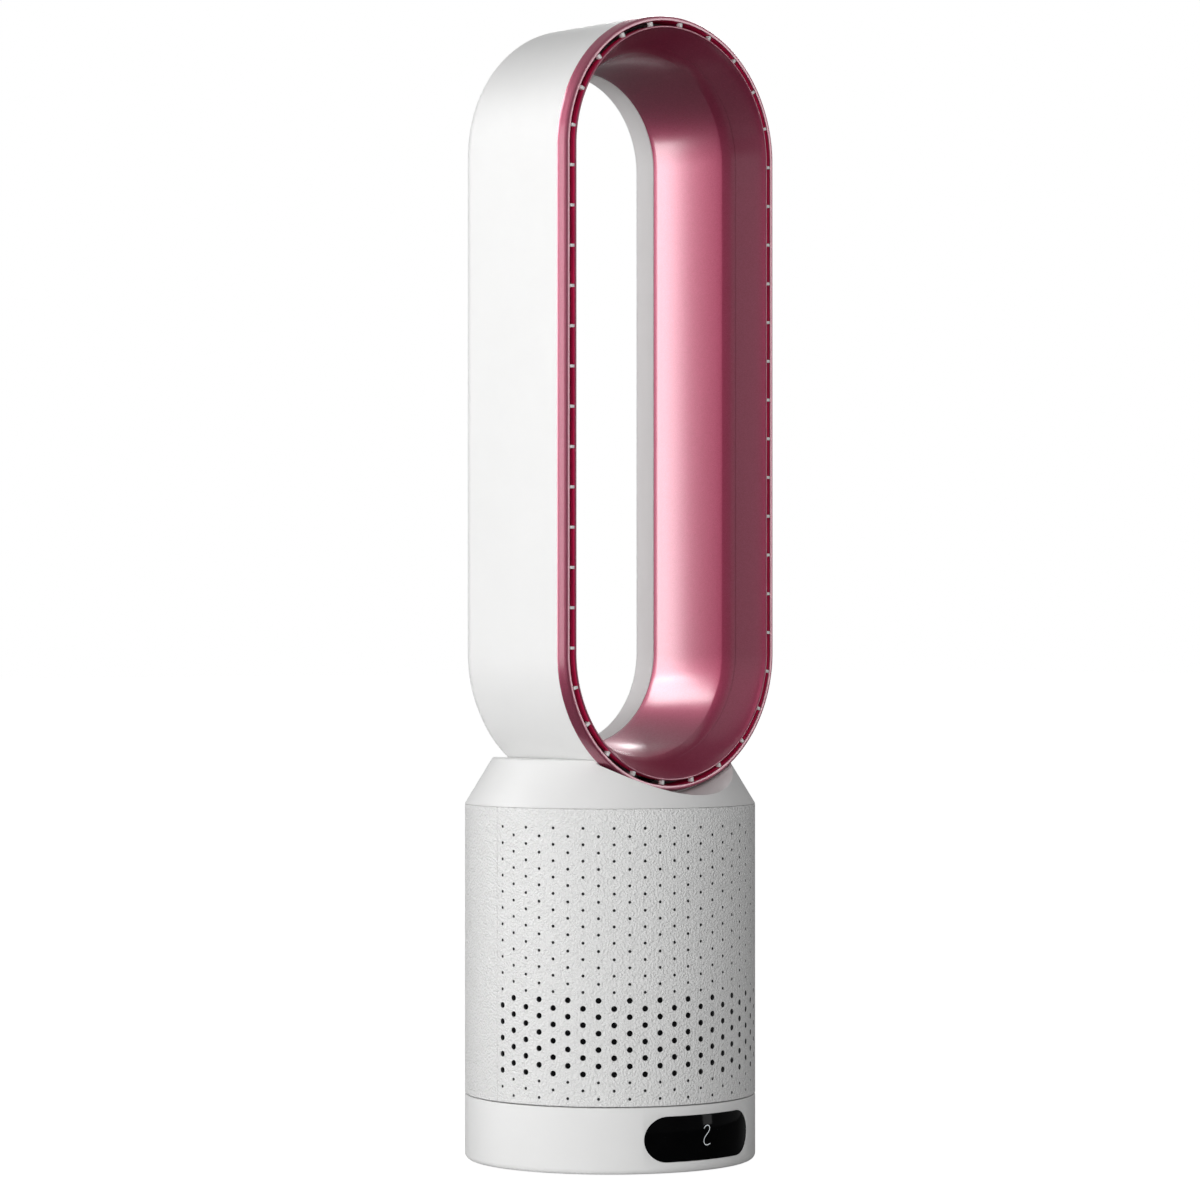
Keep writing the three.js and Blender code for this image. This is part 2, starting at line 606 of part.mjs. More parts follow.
// Floor of the turning body, its tube through the deck, and the driver board's posts.
function turntablePlate() {
  const edge = BODY_RADIUS - BODY_WALL - FIT_GAP;
  const top = BODY_BOTTOM + TURNTABLE_THICKNESS;
  const plate = turnedSolid(
    [
      at(HUB_BORE, HUB_BOTTOM),
      at(HUB_RADIUS, HUB_BOTTOM),
      at(HUB_RADIUS, BODY_BOTTOM),
      at(edge, BODY_BOTTOM),
      at(edge, top),
      at(HUB_BORE, top),
    ],
    INNER_SIDES,
  );
  const posts = driverPostPlaces().map(([x, y]) =>
    post(DRIVER_POST_RADIUS, top - OVERLAP, DRIVER_BOARD_Z - FIT_GAP, x, y),
  );
  return join(plate, ...posts);
}

function driverPostPlaces() {
  const places = [];
  for (const x of [-DRIVER_POST_X, DRIVER_POST_X]) {
    for (const y of [-DRIVER_POST_Y, DRIVER_POST_Y]) places.push([x, DRIVER_BOARD_Y + y]);
  }
  return places;
}

function driverBoard() {
  const top = DRIVER_BOARD_Z + BOARD_THICKNESS;
  const capacitorTop = top + CAPACITOR_HEIGHT;
  const board = block(
    DRIVER_BOARD_WIDTH,
    DRIVER_BOARD_DEPTH,
    BOARD_THICKNESS,
    0,
    DRIVER_BOARD_Y,
    DRIVER_BOARD_Z + BOARD_THICKNESS / 2,
  );
  const capacitors = [-1, 1].map((side) =>
    post(CAPACITOR_RADIUS, top - OVERLAP, capacitorTop, side * 2 * CAPACITOR_RADIUS, DRIVER_BOARD_Y),
  );
  const connector = block(
    CONNECTOR_WIDTH,
    CONNECTOR_DEPTH,
    CONNECTOR_HEIGHT + OVERLAP,
    CONNECTOR_WIDTH - DRIVER_POST_X,
    DRIVER_BOARD_Y - DRIVER_POST_Y,
    top + (CONNECTOR_HEIGHT - OVERLAP) / 2,
  );
  return join(board, ...capacitors, connector);
}

// ---------------------------------------------------------------- body
// Radial holes across the front: every second column is raised by half a row.
function holeField() {
  const step = 360 / BODY_SIDES;
  const length = 4 * BODY_WALL;
  const holes = [];
  for (let column = 0; column < FRONT_HOLE_COLUMNS; column++) {
    const raise = column % 2 ? HOLE_ROW_PITCH / 2 : 0;
    const angle = (column - (FRONT_HOLE_COLUMNS - 1) / 2) * step;
    for (let row = 0; row < HOLE_ROWS; row++) {
      holes.push(
        new THREE.CylinderGeometry(HOLE_RADIUS, HOLE_RADIUS, length, HOLE_SIDES)
          .translate(0, -BODY_RADIUS, HOLE_FIELD_BOTTOM + raise + row * HOLE_ROW_PITCH)
          .rotateZ(angle * DEGREE),
      );
    }
  }
  return holes.map(solid);
}

// Brackets on the inside of one half: flat on top, and spread over the half's middle.
function brackets(facing, bottom) {
  const inner = BODY_RADIUS - BODY_WALL - BRACKET_REACH;
  const outer = BODY_RADIUS - BODY_WALL / 2;
  return Array.from({ length: BRACKETS_PER_HALF }, (_, i) => {
    const angle = ((i + 0.5) / BRACKETS_PER_HALF - 0.5) * 180 + facing;
    return solid(
      new THREE.BoxGeometry(BRACKET_WIDTH, outer - inner, BRACKET_HEIGHT)
        .translate(0, -(inner + outer) / 2, bottom + BRACKET_HEIGHT / 2)
        .rotateZ(angle * DEGREE),
    );
  });
}

// One half of the body's wall, with brackets that stand on the turntable and brackets for the housing.
function bodyHalf(side) {
  const wall = tube(BODY_RADIUS - BODY_WALL, BODY_RADIUS, BODY_BOTTOM, BODY_TOP - FIT_GAP, BODY_SIDES);
  const half = common(wall, block(FAR, FAR, FAR, 0, side * (FAR / 2 + FIT_GAP / 2), HOUSING_BRACKET_Z));
  const facing = side < 0 ? 0 : 180;
  return join(half, ...brackets(facing, FOOT_BRACKET_Z), ...brackets(facing, HOUSING_BRACKET_Z));
}

const frontGrille = () => cut(bodyHalf(-1), ...holeField());

// Fine mesh that lines the front half behind the holes, between its two rows of brackets.
function intakeMesh() {
  const outer = BODY_RADIUS - BODY_WALL - FIT_GAP;
  const bottom = FOOT_BRACKET_Z + BRACKET_HEIGHT + FIT_GAP;
  const band = tube(outer - MESH_THICKNESS, outer, bottom, HOUSING_BRACKET_Z - FIT_GAP, BODY_SIDES / 2);
  return common(band, block(FAR, FAR, FAR, 0, -FAR / 2 - MESH_THICKNESS, HOUSING_BRACKET_Z));
}

// ---------------------------------------------------------------- impeller housing and motor
function isolatorRing() {
  const inside = BODY_RADIUS - BODY_WALL;
  const bottom = HOUSING_BRACKET_Z + BRACKET_HEIGHT + FIT_GAP;
  return tube(inside - BRACKET_REACH, inside - FIT_GAP, bottom, bottom + ISOLATOR_THICKNESS, INNER_SIDES);
}

// Bell-mouthed housing: an elliptical inlet flare, a straight duct and a flange that hangs it in the body.
function impellerHousing() {
  const flare = (radius) =>
    [0, 45, 90].map((angle) =>
      at(
        INLET_FLARE_RADIUS - (INLET_FLARE_RADIUS - DUCT_RADIUS) * Math.sin(angle * DEGREE) + radius,
        INLET_BOTTOM + INLET_FLARE_HEIGHT * (1 - Math.cos(angle * DEGREE)),
      ),
    );
  const outer = DUCT_RADIUS + DUCT_WALL;
  const edge = BODY_RADIUS - BODY_WALL - 2 * FIT_GAP;
  return turnedSolid(
    [
      ...flare(0),
      at(DUCT_RADIUS, HOUSING_TOP),
      at(outer, HOUSING_TOP),
      at(outer, HOUSING_FLANGE_Z + DUCT_WALL),
      at(edge, HOUSING_FLANGE_Z + DUCT_WALL),
      at(edge, HOUSING_FLANGE_Z),
      at(outer, HOUSING_FLANGE_Z),
      ...flare(DUCT_WALL).reverse(),
    ],
    INNER_SIDES,
  );
}

// The pod that holds the motor, joined to an outer ring by leaning vanes that straighten the air.
function diffuser() {
  const outer = DUCT_RADIUS - FIT_GAP;
  const inside = POD_RADIUS - POD_WALL;
  const shaftHole = 2 * SHAFT_RADIUS;
  const pod = turnedSolid(
    [
      at(shaftHole, POD_BOTTOM),
      at(POD_RADIUS, POD_BOTTOM),
      at(POD_RADIUS, POD_TOP),
      at(inside, POD_TOP),
      at(inside, POD_BOTTOM + POD_WALL),
      at(shaftHole, POD_BOTTOM + POD_WALL),
    ],
    CORE_SIDES,
  );
  const ring = tube(outer - POD_WALL, outer, POD_BOTTOM, DIFFUSER_TOP, INNER_SIDES);
  const bounds = cut(
    disc(outer, POD_BOTTOM, DIFFUSER_TOP, INNER_SIDES),
    disc(POD_RADIUS - POD_WALL / 2, POD_BOTTOM - 1, DIFFUSER_TOP + 1, CORE_SIDES),
  );
  const height = DIFFUSER_TOP - POD_BOTTOM - 2 * VANE_THICKNESS;
  const reach = outer - inside + VANE_LEAN / 2;
  const vanes = spread(DIFFUSER_VANES, 0, () => {
    const vane = new THREE.BoxGeometry(VANE_THICKNESS, reach, height, 1, 1, 2);
    const place = vane.attributes.position;
    for (let i = 0; i < place.count; i++) {
      const rise = place.getZ(i) / height + 0.5;
      place.setX(i, place.getX(i) + VANE_LEAN * (1 - rise) ** 2);
    }
    return vane.translate(0, -outer + reach / 2, (POD_BOTTOM + DIFFUSER_TOP) / 2);
  });
  return join(pod, ring, ...vanes.map((vane) => common(vane, bounds)));
}

// Radius of an outline at a height; its points rise.
function radiusAt(outline, z) {
  const i = Math.max(1, outline.findIndex((point) => point.y >= z));
  const [low, high] = [outline[i - 1], outline[i]];
  return THREE.MathUtils.mapLinear(z, low.y, high.y, low.x, high.x);
}
// The impeller hub's outline, or a line inside it.
function hubSlope(inset) {
  const flare = IMPELLER_HUB_RADIUS - IMPELLER_NOSE_RADIUS;
  const height = IMPELLER_TOP - IMPELLER_BOTTOM;
  return HUB_CURVE.map(([out, up]) =>
    at(IMPELLER_NOSE_RADIUS + flare * out - inset, IMPELLER_BOTTOM + height * up + inset * (1 - up)),
  );
}

// Mixed-flow impeller: a flared hollow hub with a bored core, and helical blades out to the duct.
// A blade, twisted round the axis, with its root inside the hub's skin.
function impellerBlade() {
  const height = IMPELLER_TOP - IMPELLER_BOTTOM;
  const tip = DUCT_RADIUS - BLADE_TIP_GAP;
  const segments = BLADE_ROWS.length - 1;
  const skinMiddle = hubSlope(IMPELLER_SKIN / 2);
  const blade = new THREE.BoxGeometry(BLADE_THICKNESS, 1, segments, 1, 1, segments);
  const place = blade.attributes.position;
  for (let i = 0; i < place.count; i++) {
    const row = BLADE_ROWS[Math.round(place.getZ(i) + segments / 2)];
    const z = IMPELLER_BOTTOM + BLADE_MARGIN + (height - 2 * BLADE_MARGIN) * row;
    const rise = (z - IMPELLER_BOTTOM) / height;
    const angle = -BLADE_TWIST * DEGREE * rise * (1 + BLADE_SWEEP * (1 - rise));
    const x = place.getX(i);
    const y = place.getY(i) < 0 ? -tip : -radiusAt(skinMiddle, z);
    place.setXYZ(i, x * Math.cos(angle) - y * Math.sin(angle), x * Math.sin(angle) + y * Math.cos(angle), z);
  }
  return blade;
}
function impeller() {
  const bore = SHAFT_RADIUS + FIT_GAP;
  const coreTop = IMPELLER_TOP - IMPELLER_CORE_SETBACK;
  const hub = turnedSolid(
    [
      at(bore, IMPELLER_BOTTOM),
      ...hubSlope(0),
      ...hubSlope(IMPELLER_SKIN).reverse().slice(0, 2),
      at(IMPELLER_CORE_RADIUS, IMPELLER_BOTTOM + IMPELLER_CORE_SETBACK),
      at(IMPELLER_CORE_RADIUS, coreTop),
      at(bore, coreTop),
    ],
    HUB_SIDES_PER_BLADE * IMPELLER_BLADES,
  );
  return join(hub, ...spread(IMPELLER_BLADES, 0, impellerBlade));
}
function impellerNut() {
  const bore = SHAFT_RADIUS + FIT_GAP;
  const top = IMPELLER_BOTTOM - FIT_GAP;
  return turnedSolid(
    [
      at(0, top - NUT_HEIGHT),
      at(NUT_RADIUS - NUT_CHAMFER, top - NUT_HEIGHT),
      at(NUT_RADIUS, top - NUT_BORE_DEPTH),
      at(NUT_RADIUS, top),
      at(bore, top),
      at(bore, top - NUT_BORE_DEPTH),
      at(0, top - NUT_BORE_DEPTH),
    ],
    PIN_SIDES,
  );
}

const impellerShaft = () => post(SHAFT_RADIUS, IMPELLER_BOTTOM - NUT_BORE_DEPTH, SHAFT_TOP, 0, 0);

const bearing = (bottom) =>
  tube(SHAFT_RADIUS + FIT_GAP, BEARING_RADIUS, bottom, bottom + BEARING_HEIGHT, PIN_SIDES);

// Motor can with the seat of its lower bearing.
function motorCan() {
  const seat = BEARING_RADIUS + FIT_GAP;
  const floor = MOTOR_BOTTOM + MOTOR_WALL;
  const inside = MOTOR_RADIUS - MOTOR_WALL;
  return turnedSolid(
    [
      at(SHAFT_RADIUS + MOTOR_SHAFT_GAP, MOTOR_BOTTOM),
      at(MOTOR_RADIUS, MOTOR_BOTTOM),
      at(MOTOR_RADIUS, CAP_BOTTOM - FIT_GAP),
      at(inside, CAP_BOTTOM - FIT_GAP),
      at(inside, floor),
      at(seat + MOTOR_WALL, floor),
      at(seat + MOTOR_WALL, floor + BEARING_HEIGHT),
      at(seat, floor + BEARING_HEIGHT),
      at(seat, floor),
      at(SHAFT_RADIUS + MOTOR_SHAFT_GAP, floor),
    ],
    CORE_SIDES,
  );
}

// End cap with the seat of the upper bearing.
function motorCap() {
  const seat = BEARING_RADIUS + FIT_GAP;
  return turnedSolid(
    [
      at(0, MOTOR_TOP),
      at(MOTOR_RADIUS, MOTOR_TOP),
      at(MOTOR_RADIUS, CAP_BOTTOM),
      at(seat + MOTOR_WALL, CAP_BOTTOM),
      at(seat + MOTOR_WALL, CAP_BOTTOM - BEARING_HEIGHT),
      at(seat, CAP_BOTTOM - BEARING_HEIGHT),
      at(seat, CAP_BOTTOM),
      at(SHAFT_RADIUS + MOTOR_SHAFT_GAP, CAP_BOTTOM),
      at(SHAFT_RADIUS + MOTOR_SHAFT_GAP, MOTOR_TOP - CAP_SKIN),
      at(0, MOTOR_TOP - CAP_SKIN),
    ],
    CORE_SIDES,
  );
}

// Laminated stator: a yoke with inward teeth round the rotor.
function motorStator() {
  const outer = MOTOR_RADIUS - MOTOR_WALL - FIT_GAP;
  const top = STATOR_BOTTOM + STATOR_HEIGHT;
  const yoke = tube(outer - STATOR_YOKE, outer, STATOR_BOTTOM, top, CORE_SIDES);
  const reach = outer - OVERLAP - ROTOR_RADIUS - AIR_GAP;
  const teeth = spread(STATOR_TEETH, 0, () =>
    new THREE.BoxGeometry(STATOR_TOOTH_WIDTH, reach, STATOR_HEIGHT).translate(
      0,
      -(ROTOR_RADIUS + AIR_GAP + reach / 2),
      STATOR_BOTTOM + STATOR_HEIGHT / 2,
    ),
  );
  return join(yoke, ...teeth);
}

const motorRotor = () =>
  tube(SHAFT_RADIUS + FIT_GAP, ROTOR_RADIUS, STATOR_BOTTOM, STATOR_BOTTOM + STATOR_HEIGHT, CORE_SIDES);

const rubberMount = (bottom) =>
  tube(MOTOR_RADIUS + FIT_GAP, POD_RADIUS - POD_WALL - FIT_GAP, bottom, bottom + MOUNT_HEIGHT, CORE_SIDES);

// ---------------------------------------------------------------- neck
// A round duct that narrows to an oval and ends in a saddle under the loop.
function neckDuct() {
  const collar = DUCT_RADIUS + DUCT_WALL + FIT_GAP;
  const bottom = HOUSING_FLANGE_Z + DUCT_WALL + FIT_GAP;
  const start = HOUSING_TOP + FIT_GAP;
  const top = BODY_TOP + SHOULDER_SPIGOT * 2;
  const end = BODY_TOP - SHOULDER_SPIGOT / 2;
  const levels = [0.25, 0.5, 0.75, 1].map((share) => start + (end - start) * share);
  const wall = (radius) => levels.map((z) => at(radius, z));
  const upright = turned(
    [
      at(collar, bottom),
      at(collar + DUCT_WALL, bottom),
      at(collar + DUCT_WALL, start + NECK_COLLAR),
      ...wall(DUCT_RADIUS + DUCT_WALL),
      at(DUCT_RADIUS + DUCT_WALL, top),
      at(DUCT_RADIUS, top),
      ...wall(DUCT_RADIUS).reverse(),
      at(DUCT_RADIUS, start),
      at(collar, start),
    ],
    INNER_SIDES,
  );
  const place = upright.attributes.position;
  for (let i = 0; i < place.count; i++) {
    const [x, y, z] = [place.getX(i), place.getY(i), place.getZ(i)];
    const share = THREE.MathUtils.smoothstep(z, start + NECK_COLLAR, end);
    const radius = Math.hypot(x, y);
    const stretch = radius - DUCT_RADIUS;
    place.setX(i, (x / radius) * (THREE.MathUtils.lerp(DUCT_RADIUS, NECK_HALF_WIDTH, share) + stretch));
    place.setY(i, (y / radius) * (THREE.MathUtils.lerp(DUCT_RADIUS, NECK_HALF_DEPTH, share) + stretch));
  }
  return cut(solid(upright), racetrackPlug(SEAT_RADIUS, -FAR / 2, FAR / 2));
}

// Saddle-shaped gasket between the duct's rim and the loop.
function neckGasket() {
  const outline = ovalColumn(NECK_HALF_WIDTH + GASKET_WIDTH, NECK_HALF_DEPTH + GASKET_WIDTH);
  const bore = ovalColumn(NECK_HALF_WIDTH, NECK_HALF_DEPTH);
  const below = racetrackPlug(SEAT_RADIUS - FIT_GAP, -FAR / 2, FAR / 2);
  const above = racetrackPlug(NOTCH_RADIUS, -FAR / 2, FAR / 2);
  const lower = block(FAR, FAR, LOOP_RADIUS, 0, 0, BODY_TOP + LOOP_RADIUS / 2);
  return cut(common(common(outline, below), lower), bore, above);
}

// Conical shoulder, hollow below, with the trough that the loop stands in.
function shoulderHousing() {
  const spigot = BODY_RADIUS - BODY_WALL - FIT_GAP;
  const bottom = BODY_TOP - SHOULDER_SPIGOT;
  const outside = turnedSolid(
    [
      at(0, bottom),
      at(spigot, bottom),
      at(spigot, BODY_TOP),
      at(BODY_RADIUS, BODY_TOP),
      at(SHOULDER_TOP_RADIUS, SHOULDER_TOP),
      at(0, SHOULDER_TOP),
    ],
    BODY_SIDES,
  );
  const hollow = turnedSolid(
    [
      at(0, bottom - OVERLAP),
      at(spigot - SHOULDER_WALL, bottom - OVERLAP),
      at(spigot - SHOULDER_WALL, BODY_TOP),
      at(SHOULDER_TOP_RADIUS - SHOULDER_WALL, SHOULDER_TOP - SHOULDER_WALL),
      at(0, SHOULDER_TOP - SHOULDER_WALL),
    ],
    BODY_SIDES / 2,
  );
  const trough = (extra) => [
    racetrackPlug(NOTCH_RADIUS + extra, SHELL_FRONT - OVERLAP, FAR / 2),
    racetrackPlug(FRONT_NOTCH_RADIUS + extra, -FAR / 2, SHELL_FRONT + extra),
  ];
  const seat = GASKET_WIDTH + FIT_GAP;
  const opening = ovalColumn(NECK_HALF_WIDTH + seat, NECK_HALF_DEPTH + seat);
  return cut(outside, ...trough(0), cut(hollow, ...trough(SHOULDER_WALL)), opening);
}

// ---------------------------------------------------------------- loop
// White rear shell: outer wall, rounded back, and the lip that turns in round the opening.
function loopRearShell() {
  const outer = [
    ...arc(SHELL_RADIUS - REAR_EDGE_RADIUS, LOOP_REAR - REAR_EDGE_RADIUS, REAR_EDGE_RADIUS, 0, 90, 3),
    ...arc(THROAT_RADIUS + REAR_LIP_RADIUS, LOOP_REAR - REAR_LIP_RADIUS, REAR_LIP_RADIUS, 90, 180, 2),
  ];
  const edge = REAR_EDGE_RADIUS - LOOP_WALL;
  const inner = [
    at(THROAT_RADIUS + LOOP_WALL, LOOP_REAR - LOOP_WALL),
    ...arc(SHELL_RADIUS - REAR_EDGE_RADIUS, LOOP_REAR - REAR_EDGE_RADIUS, edge, 90, 0, 2),
  ];
  const shell = racetrackRing([
    at(SHELL_RADIUS, SHELL_FRONT),
    ...outer,
    at(THROAT_RADIUS, LINER_REAR + FIT_GAP),
    at(THROAT_RADIUS + LOOP_WALL, LINER_REAR + FIT_GAP),
    ...inner,
    at(SHELL_RADIUS - LOOP_WALL, SHELL_FRONT),
  ]);
  const throat = common(
    ovalColumn(NECK_HALF_WIDTH, NECK_HALF_DEPTH),
    block(FAR, FAR, LOOP_RADIUS / 2, 0, 0, BODY_TOP + LOOP_RADIUS / 4),
  );
  return cut(shell, throat);
}

// Rose liner: the steeper band, the long bulged wall, and a hidden tongue behind the rear lip.
function loopInnerLiner() {
  const start = FLARE_REAR + FIT_GAP;
  const bulge = [0, 0.3, 0.65, 1].map((share) => {
    const inward = LINER_DROP * (1 - (1 - share) ** LINER_CURVE);
    return at(STEP_INNER - inward, STEP_REAR + (LINER_REAR - STEP_REAR) * share);
  });
  const tongue = THROAT_RADIUS + LOOP_WALL + FIT_GAP;
  const back = [...bulge].reverse().map((point) => at(point.x + LOOP_WALL, point.y));
  return racetrackRing([
    at(FLARE_INNER, start),
    ...bulge,
    at(tongue, LINER_REAR),
    at(tongue, LINER_REAR + SPIGOT_DEPTH / 2),
    at(tongue + LOOP_WALL, LINER_REAR + SPIGOT_DEPTH / 2),
    at(tongue + LOOP_WALL, LINER_REAR - SPIGOT_DEPTH / 2),
    back[2],
    back[3],
    at(FLARE_INNER + LOOP_WALL, start),
  ]);
}

// Bezel: a rounded rim whose side slopes out to the rear, and a spigot into the rear shell.
function frontBezelRing() {
  const front = LOOP_FRONT + BEZEL_SETBACK;
  const rear = LOOP_FRONT + BEZEL_DEPTH;
  const spigot = SHELL_RADIUS - LOOP_WALL - FIT_GAP;
  const slope = [0, 0.35, 0.75, 1].map((share) =>
    at(
      SLOT_OUTER + BEZEL_LAND + (BEZEL_RIM - BEZEL_LAND) * share,
      front + BEZEL_SLOPE_DEPTH * share ** BEZEL_CURVE,
    ),
  );
  return racetrackRing([
    at(SLOT_OUTER, front),
    ...slope,
    at(LOOP_RADIUS, rear),
    at(spigot, rear),
    at(spigot, rear + SPIGOT_DEPTH),
    at(SLOT_OUTER, rear + SPIGOT_DEPTH),
  ]);
}

// Places along the loop's middle line, evenly spaced: how far up the line and which way is outward.
function spacerPlaces(radius) {
  const half = Math.PI * radius;
  const length = 2 * (half + LOOP_STRAIGHT);
  return Array.from({ length: SPACER_COUNT }, (_, i) => {
    let run = ((i + 0.5) * length) / SPACER_COUNT;
    let upper = 1;
    if (run > half + LOOP_STRAIGHT) {
      run -= half + LOOP_STRAIGHT;
      upper = -1;
    }
    const angle = Math.min(run, half) / radius - (upper * Math.PI) / 2;
    const along = Math.max(run - half, 0);
    return { angle, centre: LOOP_MIDDLE_Z + upper * (LOOP_STRAIGHT / 2 - along) };
  });
}

// Flared front ring: the thin lip beside the air slot, the flare behind it, and the slot's spacers.
function frontFlareRing() {
  const start = LOOP_FRONT + LIP_EDGE;
  const curve = [0, 0.25, 0.6, 1].map((share) =>
    at(LIP_INNER - FLARE_DROP * share ** FLARE_CURVE, start + (FLARE_REAR - start) * share),
  );
  const ring = racetrackRing([
    at(LIP_OUTER, start),
    at(LIP_OUTER - LIP_EDGE, LOOP_FRONT),
    at(LIP_INNER + LIP_EDGE, LOOP_FRONT),
    ...curve,
    at(FLARE_INNER + LOOP_WALL, FLARE_REAR),
    at(LIP_OUTER, LOOP_FRONT + LIP_DEPTH),
  ]);
  const reach = SLOT_WIDTH - FIT_GAP;
  const middle = LIP_OUTER + (reach - OVERLAP) / 2;
  const spacers = spacerPlaces((LIP_OUTER + SLOT_OUTER) / 2).map(({ angle, centre }) =>
    solid(
      new THREE.BoxGeometry(SPACER_THICKNESS, SPACER_DEPTH, reach + OVERLAP)
        .translate(0, LOOP_FRONT + SPACER_SETBACK + SPACER_DEPTH / 2, middle)
        .rotateY(angle)
        .translate(0, 0, centre),
    ),
  );
  return join(ring, ...spacers);
}

// ---------------------------------------------------------------- assembly
const fan = new THREE.Group();

const base = new THREE.Group();
base.add(piece("base_plate", basePlate(), DARK_PLASTIC));
footPlaces().forEach((place, i) => base.add(piece(`rubber_foot_${i + 1}`, foot(place), BLACK_RUBBER)));
base.add(piece("ballast_weight", ballastWeight(), CAST_IRON));
base.add(piece("control_ring", controlRing(), WHITE_PLASTIC));
base.add(piece("display_lens", displayLens(), BLACK_GLOSS));
base.add(piece("display_board", displayBoard(), GREEN_BOARD));
base.add(piece("digit_module", digitModule(), WHITE_DIGITS));
base.add(piece("infrared_receiver", infraredReceiver(), BLACK_GLOSS));
base.add(piece("power_inlet", powerInlet(), DARK_PLASTIC));
base.add(piece("wear_ring", wearRing(), NATURAL_PLASTIC));
base.add(piece("stepper_motor", stepperMotor(), STEEL));
base.add(piece("stepper_shaft", stepperShaft(), STEEL));
base.add(piece("drive_pinion", pinion(), NATURAL_PLASTIC));
fan.add(base);

const body = new THREE.Group();
body.add(piece("turntable_plate", turntablePlate(), GREY_PLASTIC));
body.add(piece("sector_gear", sectorGear(), NATURAL_PLASTIC));
body.add(piece("driver_board", driverBoard(), GREEN_BOARD));
body.add(piece("front_grille", frontGrille(), WHITE_PLASTIC));
body.add(piece("rear_cover", bodyHalf(1), WHITE_PLASTIC));
body.add(piece("intake_mesh", intakeMesh(), DARK_MESH));
body.add(piece("isolator_ring", isolatorRing(), BLACK_RUBBER));
body.add(piece("impeller_housing", impellerHousing(), GREY_PLASTIC));
body.add(piece("diffuser", diffuser(), DARK_PLASTIC));
body.add(piece("motor_can", motorCan(), STEEL));
body.add(piece("motor_cap", motorCap(), STEEL));
body.add(piece("motor_stator", motorStator(), COPPER));
body.add(piece("lower_bearing", bearing(LOWER_BEARING_Z), STEEL));
body.add(piece("upper_bearing", bearing(UPPER_BEARING_Z), STEEL));
body.add(piece("lower_motor_mount", rubberMount(MOTOR_BOTTOM + MOTOR_WALL), BLACK_RUBBER));
body.add(piece("upper_motor_mount", rubberMount(CAP_BOTTOM - MOUNT_HEIGHT), BLACK_RUBBER));
body.add(piece("neck_duct", neckDuct(), GREY_PLASTIC));
body.add(piece("neck_gasket", neckGasket(), BLACK_RUBBER));
body.add(piece("shoulder_housing", shoulderHousing(), WHITE_PLASTIC));
fan.add(body);

const loop = new THREE.Group();
loop.add(piece("loop_rear_shell", loopRearShell(), WHITE_PLASTIC));
loop.add(piece("loop_inner_liner", loopInnerLiner(), ROSE_METALLIC));
loop.add(piece("front_bezel_ring", frontBezelRing(), ROSE_METALLIC));
loop.add(piece("front_flare_ring", frontFlareRing(), ROSE_METALLIC));
body.add(loop);

const spinning = new THREE.Group();
spinning.add(piece("impeller", impeller(), DARK_PLASTIC));
spinning.add(piece("impeller_nut", impellerNut(), STEEL));
spinning.add(piece("impeller_shaft", impellerShaft(), STEEL));
spinning.add(piece("motor_rotor", motorRotor(), STEEL));
body.add(spinning);

export default fan;
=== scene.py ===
"""Bladeless tower fan: the visible housings, air loop, display and studio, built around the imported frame.

Metres, +Z up; the fan's front faces -Y and its axis is the Z axis. Radii of the loop are distances from its
middle line, the upright racetrack line that every loop piece follows.
"""

import json
import math

import bmesh
import bpy
from bpy.props import FloatProperty, FloatVectorProperty, IntProperty, PointerProperty
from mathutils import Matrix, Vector


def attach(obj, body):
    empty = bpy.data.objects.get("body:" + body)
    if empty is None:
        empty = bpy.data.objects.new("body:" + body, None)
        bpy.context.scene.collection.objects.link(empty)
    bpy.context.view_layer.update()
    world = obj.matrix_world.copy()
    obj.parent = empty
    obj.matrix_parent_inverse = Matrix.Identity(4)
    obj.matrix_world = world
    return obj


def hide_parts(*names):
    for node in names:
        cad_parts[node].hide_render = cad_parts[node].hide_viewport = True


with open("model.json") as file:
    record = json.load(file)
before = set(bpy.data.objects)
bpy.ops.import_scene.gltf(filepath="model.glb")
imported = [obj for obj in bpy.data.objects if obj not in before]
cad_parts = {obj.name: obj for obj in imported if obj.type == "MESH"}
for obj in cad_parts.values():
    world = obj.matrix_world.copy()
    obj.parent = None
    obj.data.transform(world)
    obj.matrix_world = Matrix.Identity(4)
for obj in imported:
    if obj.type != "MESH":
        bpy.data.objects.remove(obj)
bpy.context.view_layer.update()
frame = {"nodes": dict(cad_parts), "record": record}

bl_info = {
    "name": "Bladeless Tower Fan",
    "version": (1, 0, 0),
    "blender": (4, 5, 0),
    "location": "View3D > Sidebar > Tower Fan",
    "description": "Models the housings, air loop and display of a bladeless tower fan, and a studio for it",
    "category": "Object",
}

MM = 0.001
ROUND_CORNERS = 180  # corners of the round housings, six for each column of holes
LOOP_CORNERS = 122  # 4 n + 2, so that no corner falls where the loop's straight sides start
FIT_GAP = 0.3 * MM
MERGE_DISTANCE = 0.004 * MM
FAR = 0.4  # longer than anything a cutter has to clear
COLUMN_TURN = 6  # degrees from one column of holes to the next
SLOT_TOLERANCE = 0.05 * MM  # how near a point counts as lying on the slot's wall
PEBBLES_PER_METRE = 620
FLOOR_MIRRORED = 0.1  # the floor's share, and its tone, as gloss shows them
FLOOR_GLOW = 0.975  # the floor as the camera sees it, before its shadow is added
SHADOW_TONE = 0.2


# ---------------------------------------------------------------- sizes and colours
def length(name, description, millimetres):
    return FloatProperty(name=name, description=description, default=millimetres * MM, unit="LENGTH", precision=4)


def amount(name, description, value):
    return FloatProperty(name=name, description=description, default=value)


def colour(name, description, red, green, blue):
    return FloatVectorProperty(
        name=name, description=description, default=(red, green, blue), subtype="COLOR", size=3, min=0.0, max=1.0
    )


